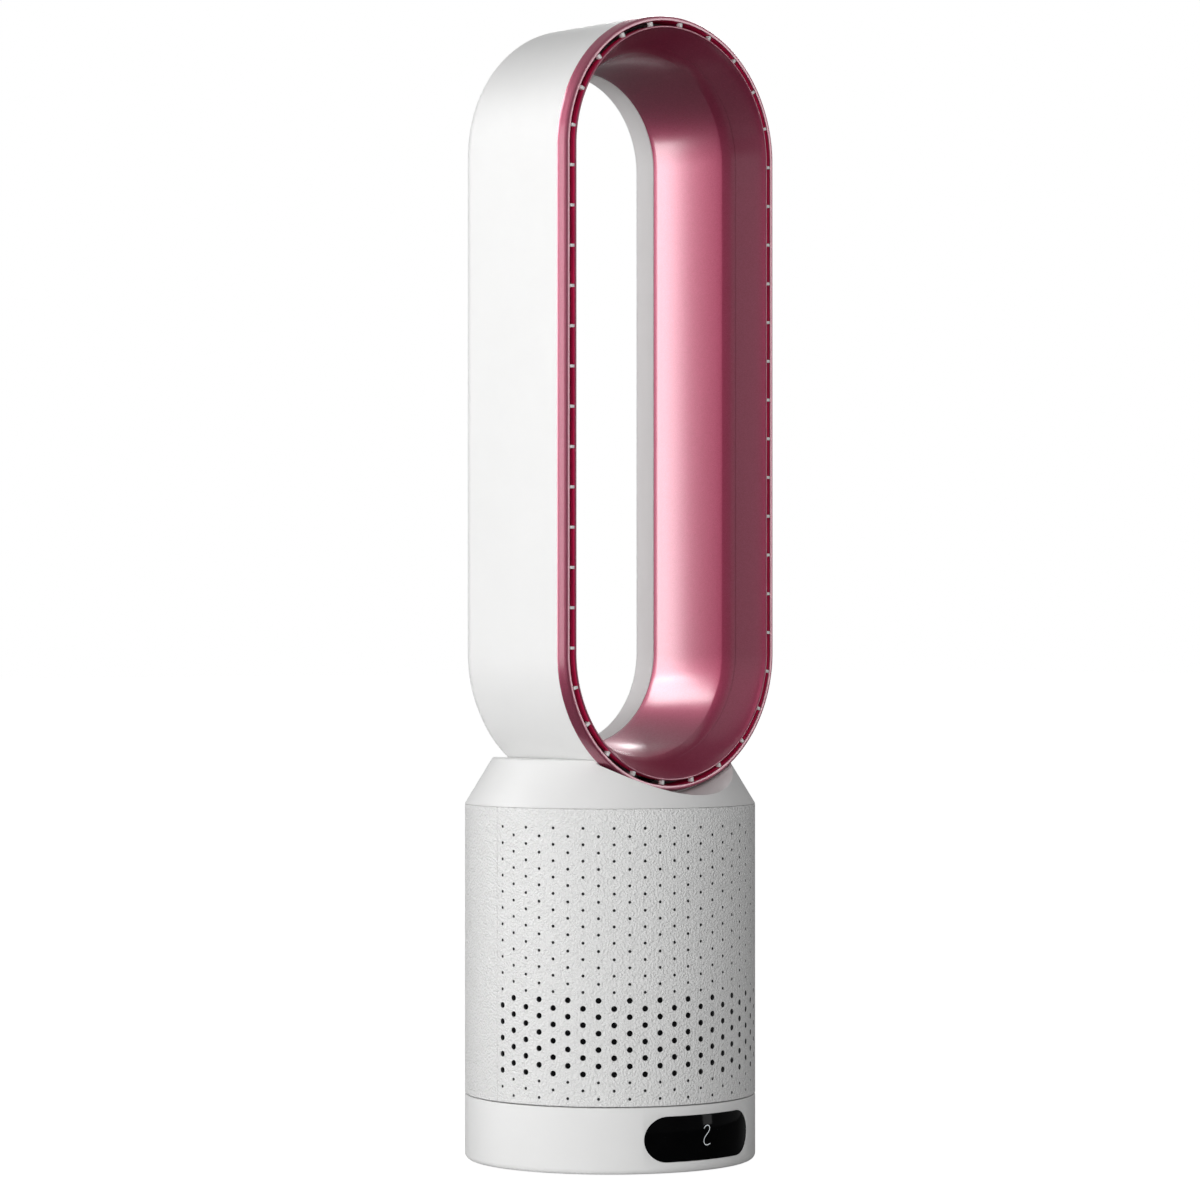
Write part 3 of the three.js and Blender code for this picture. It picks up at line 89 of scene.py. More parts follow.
class FanLoopSizes(bpy.types.PropertyGroup):
    radius: length("Half width", "Half the loop's width, over the bezel", 114)
    straight: length("Straight side", "Straight side between the loop's round ends", 406)
    middle: length("Middle height", "Height of the loop's middle above the floor", 622.8)
    front: length("Front", "How far in front of the axis the lip lies", 79)
    depth: length("Depth", "Front to back depth of the loop", 137)
    shell_radius: length("Shell half width", "Half the white shell's width", 112.7)
    slot_outer: length("Slot outside", "Outer wall of the air slot", 108.3)
    slot_width: length("Slot width", "Width of the air slot", 3.9)
    lip: length("Lip thickness", "Thickness of the lip inside the slot", 1.9)
    flare_inner: length("Flare inside", "Innermost line of the flared band", 90.5)
    step_inner: length("Step inside", "Innermost line of the steeper band", 86)
    throat: length("Throat", "Narrowest half width of the opening", 76.7)
    flare_depth: length("Flare depth", "Depth of the flared band", 24)
    step_depth: length("Step depth", "Depth of the steeper band", 12)
    rear_lip: length("Rear lip depth", "Depth of the white lip round the back of the opening", 25)
    rear_edge: length("Rear edge radius", "Rounding of the white shell's rear edge", 16)
    wall: length("Wall", "Wall thickness of the loop's mouldings", 2.3)
    bezel_depth: length("Bezel depth", "Depth of the coloured rim", 11.5)
    spacers: IntProperty(name="Spacers", description="Small spacers across the air slot", default=46, min=1)


class FanBodySizes(bpy.types.PropertyGroup):
    radius: length("Radius", "Radius of the round body", 120)
    bottom: length("Bottom", "Height of the body's lower edge", 56.5)
    top: length("Top", "Height of the body's upper edge", 295)
    wall: length("Wall", "Wall thickness of the body", 2.4)
    shoulder_top: length("Shoulder top", "Height of the conical shoulder's top", 333)
    shoulder_radius: length("Shoulder radius", "Radius of the shoulder's top", 97)
    hole_radius: length("Hole radius", "Radius of an intake hole", 2.35)
    hole_bottom: length("Lowest hole", "Height of the lowest row of holes", 82.4)
    hole_pitch: length("Row pitch", "Height from one hole to the next in a column", 13.12)
    pit_radius: length("Pit radius", "Radius of a blind pit", 1.25)
    hole_rows: IntProperty(name="Hole rows", description="Intake holes in a column", default=5, min=1)
    hole_columns: IntProperty(name="Hole columns", description="Columns of holes across the front", default=30, min=2)


class FanBaseSizes(bpy.types.PropertyGroup):
    top: length("Top", "Height of the fixed ring's upper edge", 55.6)
    bottom: length("Bottom", "Height of the fixed ring's lower edge", 2)
    wall: length("Wall", "Wall thickness of the fixed ring", 3)
    foot_edge: length("Foot edge", "Rounding of the fixed ring's lower edge", 5)
    window_height: length("Window height", "Height of the display window's middle", 29.5)
    window_half_length: length("Window half length", "Half the display window's length", 55)
    window_half_height: length("Window half height", "Half the display window's height", 18.2)
    digit_height: length("Digit height", "Height of the lit digit", 16.5)
    foot_radius: length("Foot radius", "Radius of a rubber foot", 9)
    foot_circle: length("Foot circle", "Distance of the feet from the axis", 84)


class FanFinishes(bpy.types.PropertyGroup):
    white: colour("White", "Moulded white plastic", 0.83, 0.83, 0.825)
    rose: colour("Rose", "Metallic rose paint", 0.37, 0.052, 0.115)
    rose_deep: colour("Deep rose", "Darker flakes in the rose paint", 0.29, 0.036, 0.085)
    slot: colour("Slot", "Dark rose inside the air slot", 0.6, 0.018, 0.09)
    black: colour("Black", "Gloss black display window", 0.0012, 0.0012, 0.0014)
    glow: colour("Digit", "Light of the display's digit", 0.62, 0.66, 0.68)
    floor: colour("Floor", "Pale studio floor", 0.8, 0.8, 0.8)


class FanStudio(bpy.types.PropertyGroup):
    camera_distance: length("Camera distance", "Camera to the fan's axis, on the level", 3560)
    camera_height: length("Camera height", "Camera above the floor", 438)
    aim_left: length("Aim left", "How far left of the fan's axis the camera aims", 8.3)
    aim_up: length("Aim up", "How far above its own height the camera aims", 24.8)
    camera_turn: FloatProperty(
        name="Camera turn",
        description="Camera's angle round the fan from its front",
        default=math.radians(-40.6),
        unit="ROTATION",
    )
    focal: amount("Focal length", "Focal length on a 36 mm sensor, in millimetres", 129)
    key: amount("Key light", "Power of the large light at the left, in watts", 31)
    strip: amount("Strip light", "Power of the tall light behind the left side", 24)
    rear: amount("Rear light", "Power of the high light behind the left side", 30)
    edge: amount("Edge light", "Power of the light that reaches the loop's rear lip", 11)
    fill: amount("Fill light", "Power of the soft light beside the camera", 26)
    side: amount("Side light", "Power of the light that the rim's left side mirrors", 7)
    front: amount("Front light", "Power of the light that the rim's front mirrors", 10)
    high: amount("High light", "Power of the high light behind the right side", 36)
    ambient: amount("Ambient", "Strength of the even light all round", 0.215)
    mirrored: amount("Mirrored", "Strength of the surroundings as gloss shows them", 0.32)


# ---------------------------------------------------------------- working by hand
def rest():
    """Back to object mode with nothing selected."""
    if bpy.context.mode != "OBJECT":
        bpy.ops.object.mode_set(mode="OBJECT")
    bpy.ops.object.select_all(action="DESELECT")


def only(piece):
    rest()
    piece.select_set(True)
    bpy.context.view_layer.objects.active = piece


def take(name):
    """The primitive just added, named, with its place moved into its mesh."""
    piece = bpy.context.object
    piece.name = name
    piece.data.name = name
    bpy.ops.object.transform_apply(location=True, rotation=True, scale=True)
    return piece


def edit(piece):
    only(piece)
    bpy.ops.object.mode_set(mode="EDIT")
    bpy.ops.mesh.select_mode(type="VERT")
    bpy.ops.mesh.select_all(action="SELECT")


def select_points(piece, chosen):
    """In edit mode, selects the points for which chosen(point) is true, with the edges and faces among them."""
    bpy.ops.mesh.select_mode(type="VERT")
    bpy.ops.mesh.select_all(action="DESELECT")
    mesh = bmesh.from_edit_mesh(piece.data)
    for point in mesh.verts:
        point.select_set(bool(chosen(point.co)))
    mesh.select_flush(True)
    bmesh.update_edit_mesh(piece.data)


def select_faces(piece, chosen):
    """In edit mode, selects the faces for which chosen(face) is true."""
    bpy.ops.mesh.select_mode(type="FACE")
    bpy.ops.mesh.select_all(action="DESELECT")
    mesh = bmesh.from_edit_mesh(piece.data)
    for face in mesh.faces:
        face.select_set(bool(chosen(face)))
    bmesh.update_edit_mesh(piece.data)


def close(piece):
    """Merges doubles, turns the faces outwards and leaves edit mode."""
    bpy.ops.mesh.select_mode(type="VERT")
    bpy.ops.mesh.select_all(action="SELECT")
    bpy.ops.mesh.remove_doubles(threshold=MERGE_DISTANCE)
    bpy.ops.mesh.normals_make_consistent(inside=False)
    bpy.ops.object.mode_set(mode="OBJECT")
    return piece


def arc(radius, height, size, start, end, steps):
    """Stations on an arc of a profile, from one angle in degrees to another."""
    angles = [math.radians(start + (end - start) * i / steps) for i in range(steps + 1)]
    return [(radius + size * math.cos(angle), height + size * math.sin(angle)) for angle in angles]


def turned(name, stations, corners=ROUND_CORNERS, along="Z"):
    """A closed wall: a circle extruded and scaled through its stations, back to the first."""
    rest()
    upright = along == "Z"

    def place(height):
        return (0, 0, height) if upright else (0, height, 0)

    radius, height = stations[0]
    turn = (0, 0, 0) if upright else (math.pi / 2, 0, 0)
    bpy.ops.mesh.primitive_circle_add(vertices=corners, radius=radius, location=place(height), rotation=turn)
    piece = take(name)
    edit(piece)
    for next_radius, next_height in [*stations[1:], stations[0]]:
        bpy.ops.mesh.extrude_region_move(TRANSFORM_OT_translate={"value": place(next_height - height)})
        growth = next_radius / radius
        scale = (growth, growth, 1) if upright else (growth, 1, growth)
        bpy.ops.transform.resize(value=scale, center_override=place(next_height))
        radius, height = next_radius, next_height
    return close(piece)


def draw_apart(piece, straight, middle):
    """Draws a ring's upper and lower halves apart into a racetrack, and lifts it to its middle height."""
    edit(piece)
    for side in (1, -1):
        select_points(piece, lambda point: point.z * side > 0)
        bpy.ops.transform.translate(value=(0, 0, side * straight / 2))
    bpy.ops.mesh.select_all(action="SELECT")
    bpy.ops.transform.translate(value=(0, 0, middle))
    return close(piece)


def loop_ring(name, stations):
    """A racetrack piece of the loop; stations are (distance from the middle line, y)."""
    loop = bpy.context.scene.fan_loop
    ring = turned(name, stations, LOOP_CORNERS, along="Y")
    return draw_apart(ring, loop.straight, loop.middle)


def loop_plug(name, radius, front, rear):
    """A solid racetrack that fills the loop out to a radius, for cutting."""
    loop = bpy.context.scene.fan_loop
    rest()
    bpy.ops.mesh.primitive_cylinder_add(
        vertices=LOOP_CORNERS, radius=radius, depth=rear - front,
        location=(0, (front + rear) / 2, 0), rotation=(math.pi / 2, 0, 0)
    )
    return draw_apart(take(name), loop.straight, loop.middle)


def drum(name, radius, bottom, top, corners=ROUND_CORNERS):
    """A closed upright cylinder."""
    rest()
    bpy.ops.mesh.primitive_cylinder_add(
        vertices=corners, radius=radius, depth=top - bottom, location=(0, 0, (bottom + top) / 2)
    )
    return take(name)


def combine(piece, other, operation="DIFFERENCE"):
    """Cuts, joins or intersects a piece with another one, which is used up."""
    only(piece)
    modifier = piece.modifiers.new("combine", "BOOLEAN")
    modifier.operation = operation
    modifier.solver = "EXACT"
    modifier.object = other
    bpy.ops.object.modifier_apply(modifier=modifier.name)
    bpy.data.objects.remove(other)
    return piece


def soften(piece, width, angle=30, segments=2):
    """Rounds the edges that are sharper than an angle in degrees."""
    only(piece)
    modifier = piece.modifiers.new("soften", "BEVEL")
    modifier.width = width
    modifier.segments = segments
    modifier.limit_method = "ANGLE"
    modifier.angle_limit = math.radians(angle)
    modifier.use_clamp_overlap = True
    bpy.ops.object.modifier_apply(modifier=modifier.name)
    return piece


def repeat(piece, count, step=None, turn=None):
    """Repeats a piece in a row by a step, or round the body's axis by an angle in degrees."""
    only(piece)
    modifier = piece.modifiers.new("repeat", "ARRAY")
    modifier.count = count
    modifier.use_relative_offset = False
    helper = None
    if step is not None:
        modifier.use_constant_offset = True
        modifier.constant_offset_displace = step
    else:
        helper = bpy.data.objects.new("turn_helper", None)
        bpy.context.scene.collection.objects.link(helper)
        helper.rotation_euler = (0, 0, math.radians(turn))
        bpy.context.view_layer.update()
        modifier.use_object_offset = True
        modifier.offset_object = helper
    bpy.ops.object.modifier_apply(modifier=modifier.name)
    if helper:
        bpy.data.objects.remove(helper)
    return piece


def unite(name, pieces):
    """Joins separate pieces into one object."""
    rest()
    for piece in pieces:
        piece.select_set(True)
    bpy.context.view_layer.objects.active = pieces[0]
    bpy.ops.object.join()
    joined = bpy.context.object
    joined.name = name
    joined.data.name = name
    return joined


def twin(piece):
    """A copy with a mesh of its own."""
    copy = piece.copy()
    copy.data = piece.data.copy()
    bpy.context.scene.collection.objects.link(copy)
    return copy


def oval_cutter(name, half_width, half_depth, height, middle):
    """An upright oval, for the neck duct's way."""
    rest()
    bpy.ops.mesh.primitive_cylinder_add(vertices=64, radius=1, depth=height, location=(0, 0, middle))
    bpy.context.object.scale = (half_width, half_depth, 1)
    return take(name)


def smooth(piece, angle):
    only(piece)
    bpy.ops.object.shade_smooth_by_angle(angle=math.radians(angle))
    return piece


def dress(piece, body, slot, material=None):
    """Gives a finished piece its body and the material of a slot of the record, or a material of its own."""
    piece.data.materials.clear()
    piece.data.materials.append(material or finish_for(slot))
    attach(piece, body)
    return piece


# ---------------------------------------------------------------- materials
def begin(name):
    """A new material with its node tree, its shader and the object's own coordinates."""
    material = bpy.data.materials.new(name)
    material.use_nodes = True
    tree = material.node_tree
    coordinates = tree.nodes.new("ShaderNodeTexCoord")
    return material, tree, tree.nodes["Principled BSDF"], coordinates.outputs["Object"]


def mottle(tree, place, scale, detail=3.0):
    """Soft noise; scale is in patches per metre."""
    noise = tree.nodes.new("ShaderNodeTexNoise")
    noise.inputs["Scale"].default_value = scale
    noise.inputs["Detail"].default_value = detail
    tree.links.new(place, noise.inputs["Vector"])
    return noise.outputs["Fac"]


def cells(tree, place, scale, feature="F1"):
    """Cell pattern; scale is in cells per metre."""
    pattern = tree.nodes.new("ShaderNodeTexVoronoi")
    pattern.feature = feature
    pattern.inputs["Scale"].default_value = scale
    tree.links.new(place, pattern.inputs["Vector"])
    return pattern


def spread_over(tree, value, low, high, start=0.3, end=0.7):
    """A value brought from one range to another."""
    reach = tree.nodes.new("ShaderNodeMapRange")
    reach.inputs["From Min"].default_value = start
    reach.inputs["From Max"].default_value = end
    reach.inputs["To Min"].default_value = low
    reach.inputs["To Max"].default_value = high
    tree.links.new(value, reach.inputs["Value"])
    return reach.outputs["Result"]


def blend_colours(tree, share, first, second):
    mix = tree.nodes.new("ShaderNodeMix")
    mix.data_type = "RGBA"
    tree.links.new(share, mix.inputs["Factor"])
    mix.inputs["A"].default_value = (*first, 1)
    mix.inputs["B"].default_value = (*second, 1)
    return mix.outputs["Result"]


def relief(tree, shader, height, strength, distance):
    bump = tree.nodes.new("ShaderNodeBump")
    bump.inputs["Strength"].default_value = strength
    bump.inputs["Distance"].default_value = distance
    tree.links.new(height, bump.inputs["Height"])
    if shader.inputs["Normal"].is_linked:
        tree.links.new(shader.inputs["Normal"].links[0].from_socket, bump.inputs["Normal"])
    tree.links.new(bump.outputs["Normal"], shader.inputs["Normal"])


def two_tones(tree, shader, share, first, second):
    tree.links.new(blend_colours(tree, share, first, second), shader.inputs["Base Color"])


def uneven_gloss(tree, shader, place, scale, low, high):
    tree.links.new(spread_over(tree, mottle(tree, place, scale), low, high), shader.inputs["Roughness"])


def scaled(tint, share):
    return tuple(min(1.0, part * share) for part in tint)


def moulded_plastic(name, tint, roughness=0.42, variation=0.03, grain=2200, height=0.02):
    """Moulded plastic: a faint mottle in its colour and gloss and a fine spark-eroded grain."""
    material, tree, shader, place = begin(name)
    tone = spread_over(tree, mottle(tree, place, 24), 0, 1)
    two_tones(tree, shader, tone, scaled(tint, 1 - variation), scaled(tint, 1 + variation))
    uneven_gloss(tree, shader, place, 140, roughness - 0.04, roughness + 0.05)
    shader.inputs["Specular IOR Level"].default_value = 0.3
    relief(tree, shader, mottle(tree, place, grain, 2.0), 0.25, height * MM)
    return material


def pebbled_plastic(name, tint):
    """White plastic with a leather-like pebble grain, about 1.6 mm a pebble."""
    material, tree, shader, place = begin(name)
    pebbles = cells(tree, place, PEBBLES_PER_METRE, "SMOOTH_F1")
    pebbles.inputs["Randomness"].default_value = 1.0
    valley = spread_over(tree, pebbles.outputs["Distance"], 0, 1, 0.25, 0.75)
    two_tones(tree, shader, valley, tint, scaled(tint, 0.93))
    uneven_gloss(tree, shader, place, 300, 0.42, 0.55)
    relief(tree, shader, pebbles.outputs["Distance"], 1.0, -1.2 * MM)
    relief(tree, shader, mottle(tree, place, 2600, 2.0), 0.3, 0.04 * MM)
    return material


def rose_paint(name, tint, deep):
    """Metallic paint: two tones of fine flakes under a satin clear coat."""
    material, tree, shader, place = begin(name)
    flakes = cells(tree, place, 2600)
    fleck = spread_over(tree, flakes.outputs["Color"], 0, 1, 0.15, 0.85)
    two_tones(tree, shader, fleck, deep, tint)
    shader.inputs["Metallic"].default_value = 0.78
    shader.inputs["Specular IOR Level"].default_value = 0.2
    uneven_gloss(tree, shader, place, 420, 0.46, 0.56)
    shader.inputs["Coat Weight"].default_value = 1.0
    shader.inputs["Coat Roughness"].default_value = 0.22
    shader.inputs["Coat IOR"].default_value = 1.8
    relief(tree, shader, mottle(tree, place, 1500, 2.0), 0.25, 0.03 * MM)
    return material


def display_gloss(name, tint):
    """Gloss black window with a faint orange peel."""
    material, tree, shader, place = begin(name)
    tone = spread_over(tree, mottle(tree, place, 60), 0, 1)
    two_tones(tree, shader, tone, tint, scaled(tint, 1.6))
    uneven_gloss(tree, shader, place, 90, 0.05, 0.09)
    shader.inputs["Specular IOR Level"].default_value = 0.03
    relief(tree, shader, mottle(tree, place, 200, 1.0), 0.1, 0.01 * MM)
    return material


def lit_digit(name, tint):
    """A digit that glows a little unevenly, as a diffused light guide does."""
    material, tree, shader, place = begin(name)
    tone = spread_over(tree, mottle(tree, place, 260), 0, 1)
    light = blend_colours(tree, tone, scaled(tint, 0.82), tint)
    shader.inputs["Base Color"].default_value = (0.02, 0.02, 0.02, 1)
    tree.links.new(light, shader.inputs["Emission Color"])
    shader.inputs["Emission Strength"].default_value = 1.0
    shader.inputs["Roughness"].default_value = 0.4
    return material


def soft_rubber(name, tint=(0.03, 0.03, 0.032)):
    """Matt rubber with a dusty bloom."""
    material, tree, shader, place = begin(name)
    tone = spread_over(tree, mottle(tree, place, 120), 0, 1)
    two_tones(tree, shader, tone, tint, scaled(tint, 1.8))
    uneven_gloss(tree, shader, place, 500, 0.7, 0.9)
    relief(tree, shader, mottle(tree, place, 1800, 3.0), 0.35, 0.05 * MM)
    return material


def turned_metal(name, tint, roughness=0.32):
    """Plated or bare metal with fine turning marks round the body's axis."""
    material, tree, shader, place = begin(name)
    rings = tree.nodes.new("ShaderNodeTexWave")
    rings.wave_type = "RINGS"
    rings.rings_direction = "Z"
    rings.inputs["Scale"].default_value = 900
    rings.inputs["Distortion"].default_value = 1.5
    tree.links.new(place, rings.inputs["Vector"])
    two_tones(tree, shader, rings.outputs["Fac"], scaled(tint, 0.85), tint)
    shader.inputs["Metallic"].default_value = 1.0
    uneven_gloss(tree, shader, place, 260, roughness - 0.06, roughness + 0.1)
    relief(tree, shader, rings.outputs["Fac"], 0.2, 0.02 * MM)
    return material


def sand_casting(name, tint=(0.09, 0.09, 0.095)):
    """Rough cast iron with a sandy skin."""
    material, tree, shader, place = begin(name)
    tone = spread_over(tree, mottle(tree, place, 90, 6.0), 0, 1)
    two_tones(tree, shader, tone, tint, scaled(tint, 1.9))
    shader.inputs["Metallic"].default_value = 0.6
    shader.inputs["Roughness"].default_value = 0.75
    relief(tree, shader, mottle(tree, place, 900, 4.0), 0.6, 0.3 * MM)
    return material


def wound_copper(name, tint=(0.62, 0.26, 0.10)):
    """Enamelled copper in close turns."""
    material, tree, shader, place = begin(name)
    turns = tree.nodes.new("ShaderNodeTexWave")
    turns.bands_direction = "Z"
    turns.inputs["Scale"].default_value = 260
    tree.links.new(place, turns.inputs["Vector"])
    two_tones(tree, shader, turns.outputs["Fac"], scaled(tint, 0.5), tint)
    shader.inputs["Metallic"].default_value = 0.9
    shader.inputs["Roughness"].default_value = 0.35
    relief(tree, shader, turns.outputs["Fac"], 0.5, 0.2 * MM)
    return material


def circuit_board(name, tint=(0.02, 0.16, 0.07)):
    """Green solder mask over faint copper tracks."""
    material, tree, shader, place = begin(name)
    tracks = cells(tree, place, 260)
    tracks.distance = "CHEBYCHEV"
    line = spread_over(tree, tracks.outputs["Distance"], 0, 1, 0.42, 0.5)
    two_tones(tree, shader, line, tint, scaled(tint, 1.7))
    uneven_gloss(tree, shader, place, 200, 0.3, 0.42)
    relief(tree, shader, line, 0.3, 0.05 * MM)
    return material


def fine_mesh(name, tint=(0.012, 0.012, 0.014)):
    """Black woven mesh: a fine square relief that reads as cloth behind the holes."""
    material, tree, shader, place = begin(name)
    weave = cells(tree, place, 1100)
    weave.distance = "CHEBYCHEV"
    weave.inputs["Randomness"].default_value = 0.0
    thread = spread_over(tree, weave.outputs["Distance"], 1, 0, 0.2, 0.5)
    two_tones(tree, shader, thread, scaled(tint, 0.3), tint)
    shader.inputs["Roughness"].default_value = 0.9
    relief(tree, shader, thread, 0.6, 0.2 * MM)
    return material


def finish_for(slot):
    """The material for a slot of the record, made once."""
    name = f"fan_{slot}"
    if name in bpy.data.materials:
        return bpy.data.materials[name]
    tints = bpy.context.scene.fan_finishes
    makers = {
        "white_plastic": lambda: moulded_plastic(name, tints.white, 0.5, 0.008),
        "rose_metallic": lambda: rose_paint(name, tints.rose, tints.rose_deep),
        "black_gloss": lambda: display_gloss(name, tints.black),
        "dark_mesh": lambda: fine_mesh(name),
        "grey_plastic": lambda: moulded_plastic(name, (0.42, 0.43, 0.44), 0.5),
        "dark_plastic": lambda: moulded_plastic(name, (0.035, 0.036, 0.038), 0.48, 0.12, 1500, 0.05),
        "natural_plastic": lambda: moulded_plastic(name, (0.72, 0.69, 0.62), 0.4),
        "black_rubber": lambda: soft_rubber(name),
        "steel": lambda: turned_metal(name, (0.56, 0.57, 0.58)),
        "cast_iron": lambda: sand_casting(name),
        "copper": lambda: wound_copper(name),
        "green_board": lambda: circuit_board(name),
        "white_digits": lambda: moulded_plastic(name, (0.5, 0.52, 0.53), 0.35),
    }
    return makers[slot]()


# ---------------------------------------------------------------- carried pieces
class FAN_OT_carried_nodes(bpy.types.Operator):
    """Give every piece carried over from the frame the material of its slot"""

    bl_idname = "fan.carried_nodes"
    bl_label = "Finish Carried Pieces"

    def execute(self, context):
        for row in frame["record"]["subparts"]:
            mesh = frame["nodes"][row["node"]].data
            mesh.materials.clear()
            mesh.materials.append(finish_for(row["material_slot"]))
        return {"FINISHED"}


# ---------------------------------------------------------------- loop
class FAN_OT_rear_shell(bpy.types.Operator):
    """Model the white rear shell of the loop, with its rounded back and the lip round the opening"""

    bl_idname = "fan.rear_shell"
    bl_label = "Rear Shell"

    def execute(self, context):
        loop = context.scene.fan_loop
        rear = loop.depth - loop.front
        front = -loop.front + loop.bezel_depth + FIT_GAP
        lip_front = rear - loop.rear_lip + FIT_GAP
        lip = 5 * MM
        inner_edge = loop.rear_edge - loop.wall
        stations = [
            (loop.shell_radius - 0.3 * MM, front),
            (loop.shell_radius, front + 0.3 * MM),
            *arc(loop.shell_radius - loop.rear_edge, rear - loop.rear_edge, loop.rear_edge, 0, 90, 9),
            *arc(loop.throat + lip, rear - lip, lip, 90, 180, 6),
            (loop.throat, lip_front),
            (loop.throat + loop.wall, lip_front),
            (loop.throat + loop.wall, rear - loop.wall),
            *arc(loop.shell_radius - loop.rear_edge, rear - loop.rear_edge, inner_edge, 90, 0, 4),
            (loop.shell_radius - loop.wall, front),
        ]
        shell = loop_ring("rear_shell", stations)
        combine(shell, oval_cutter("neck_hole", 46 * MM, 28 * MM, 60 * MM, 305 * MM))
        smooth(shell, 28)
        dress(shell, "upper", "white_plastic")
        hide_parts("loop_rear_shell")
        return {"FINISHED"}


class FAN_OT_inner_liner(bpy.types.Operator):
    """Model the rose liner: the steeper band, its crease and the long bulged wall"""

    bl_idname = "fan.inner_liner"
    bl_label = "Inner Liner"

    def execute(self, context):
        loop = context.scene.fan_loop
        start = -loop.front + loop.flare_depth + FIT_GAP
        crease = start - FIT_GAP + loop.step_depth
        end = loop.depth - loop.front - loop.rear_lip
        drop = loop.step_inner - loop.throat
        steps = 12
        bulge = []
        for i in range(steps + 1):
            share = i / steps
            inward = drop * (1 - (1 - share) ** 1.7)
            bulge.append((loop.step_inner - inward, crease + (end - crease) * share))
        tongue = loop.throat + loop.wall + FIT_GAP
        reach = 5 * MM
        back = [(radius + loop.wall, y) for radius, y in reversed(bulge[: steps - 1 : 3])]
        stations = [
            (loop.flare_inner, start),
            *bulge,
            (tongue, end),
            (tongue, end + reach),
            (tongue + loop.wall, end + reach),
            (tongue + loop.wall, end - reach),
            *back,
            (loop.flare_inner + loop.wall, start),
        ]
        liner = loop_ring("inner_liner", stations)
        soften(liner, 0.7 * MM, 7)
        smooth(liner, 30)
        dress(liner, "upper", "rose_metallic")
        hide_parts("loop_inner_liner")
        return {"FINISHED"}


def paint_faces(piece, material, chosen):
    """Gives the faces for which chosen(face) is true a second material."""
    piece.data.materials.append(material)
    edit(piece)
    select_faces(piece, chosen)
    piece.active_material_index = 1
    bpy.ops.object.material_slot_assign()
    rest()


def loop_radius(point):
    """Distance of a point from the loop's middle line."""
    loop = bpy.context.scene.fan_loop
    return Vector((point.x, max(abs(point.z - loop.middle) - loop.straight / 2, 0))).length


def darken_slot(piece, chosen):
    """Paints the faces inside the air slot a darker, duller rose; chosen takes their radius and y."""
    name = "fan_slot_rose"
    if name not in bpy.data.materials:
        moulded_plastic(name, bpy.context.scene.fan_finishes.slot, 0.5, 0.1)
    paint_faces(
        piece,
        bpy.data.materials[name],
        lambda face: all(chosen(loop_radius(point.co), point.co.y) for point in face.verts),
    )


class FAN_OT_front_bezel(bpy.types.Operator):
    """Model the rounded rose rim outside the air slot"""

    bl_idname = "fan.front_bezel"
    bl_label = "Front Bezel"

    def execute(self, context):
        loop = context.scene.fan_loop
        front = -loop.front + 1.5 * MM
        rear = -loop.front + loop.bezel_depth
        spigot = loop.shell_radius - loop.wall - FIT_GAP
        rim = 1.4 * MM
        stations = [
            (loop.slot_outer, rear + 10 * MM),
            (loop.slot_outer, front + 0.8 * MM),
            *arc(loop.slot_outer + 0.8 * MM, front + 0.8 * MM, 0.8 * MM, 210, 270, 3),
            *arc(loop.slot_outer + 2.6 * MM, front + rim, rim, 270, 330, 4),
            (loop.slot_outer + 4.6 * MM, front + 3.9 * MM),
            (loop.radius - 0.6 * MM, front + 6.2 * MM),
            (loop.radius, front + 8 * MM),
            (loop.radius, rear - 0.4 * MM),
            (loop.radius - 0.4 * MM, rear),
            (spigot, rear),
            (spigot, rear + 10 * MM),
        ]
        bezel = loop_ring("front_bezel", stations)
        smooth(bezel, 42)
        dress(bezel, "upper", "rose_metallic")
        darken_slot(bezel, lambda radius, y: radius < loop.slot_outer + SLOT_TOLERANCE)
        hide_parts("front_bezel_ring")
        return {"FINISHED"}


def spacer_places(loop, radius):
    """Height and outward angle of each spacer, evenly along the racetrack."""
    half = math.pi * radius
    whole = 2 * (half + loop.straight)
    for i in range(loop.spacers):
        run = (i + 0.5) * whole / loop.spacers
        upper = 1
        if run > half + loop.straight:
            run -= half + loop.straight
            upper = -1
        angle = min(run, half) / radius - upper * math.pi / 2
        along = max(run - half, 0)
        yield angle, loop.middle + upper * (loop.straight / 2 - along)


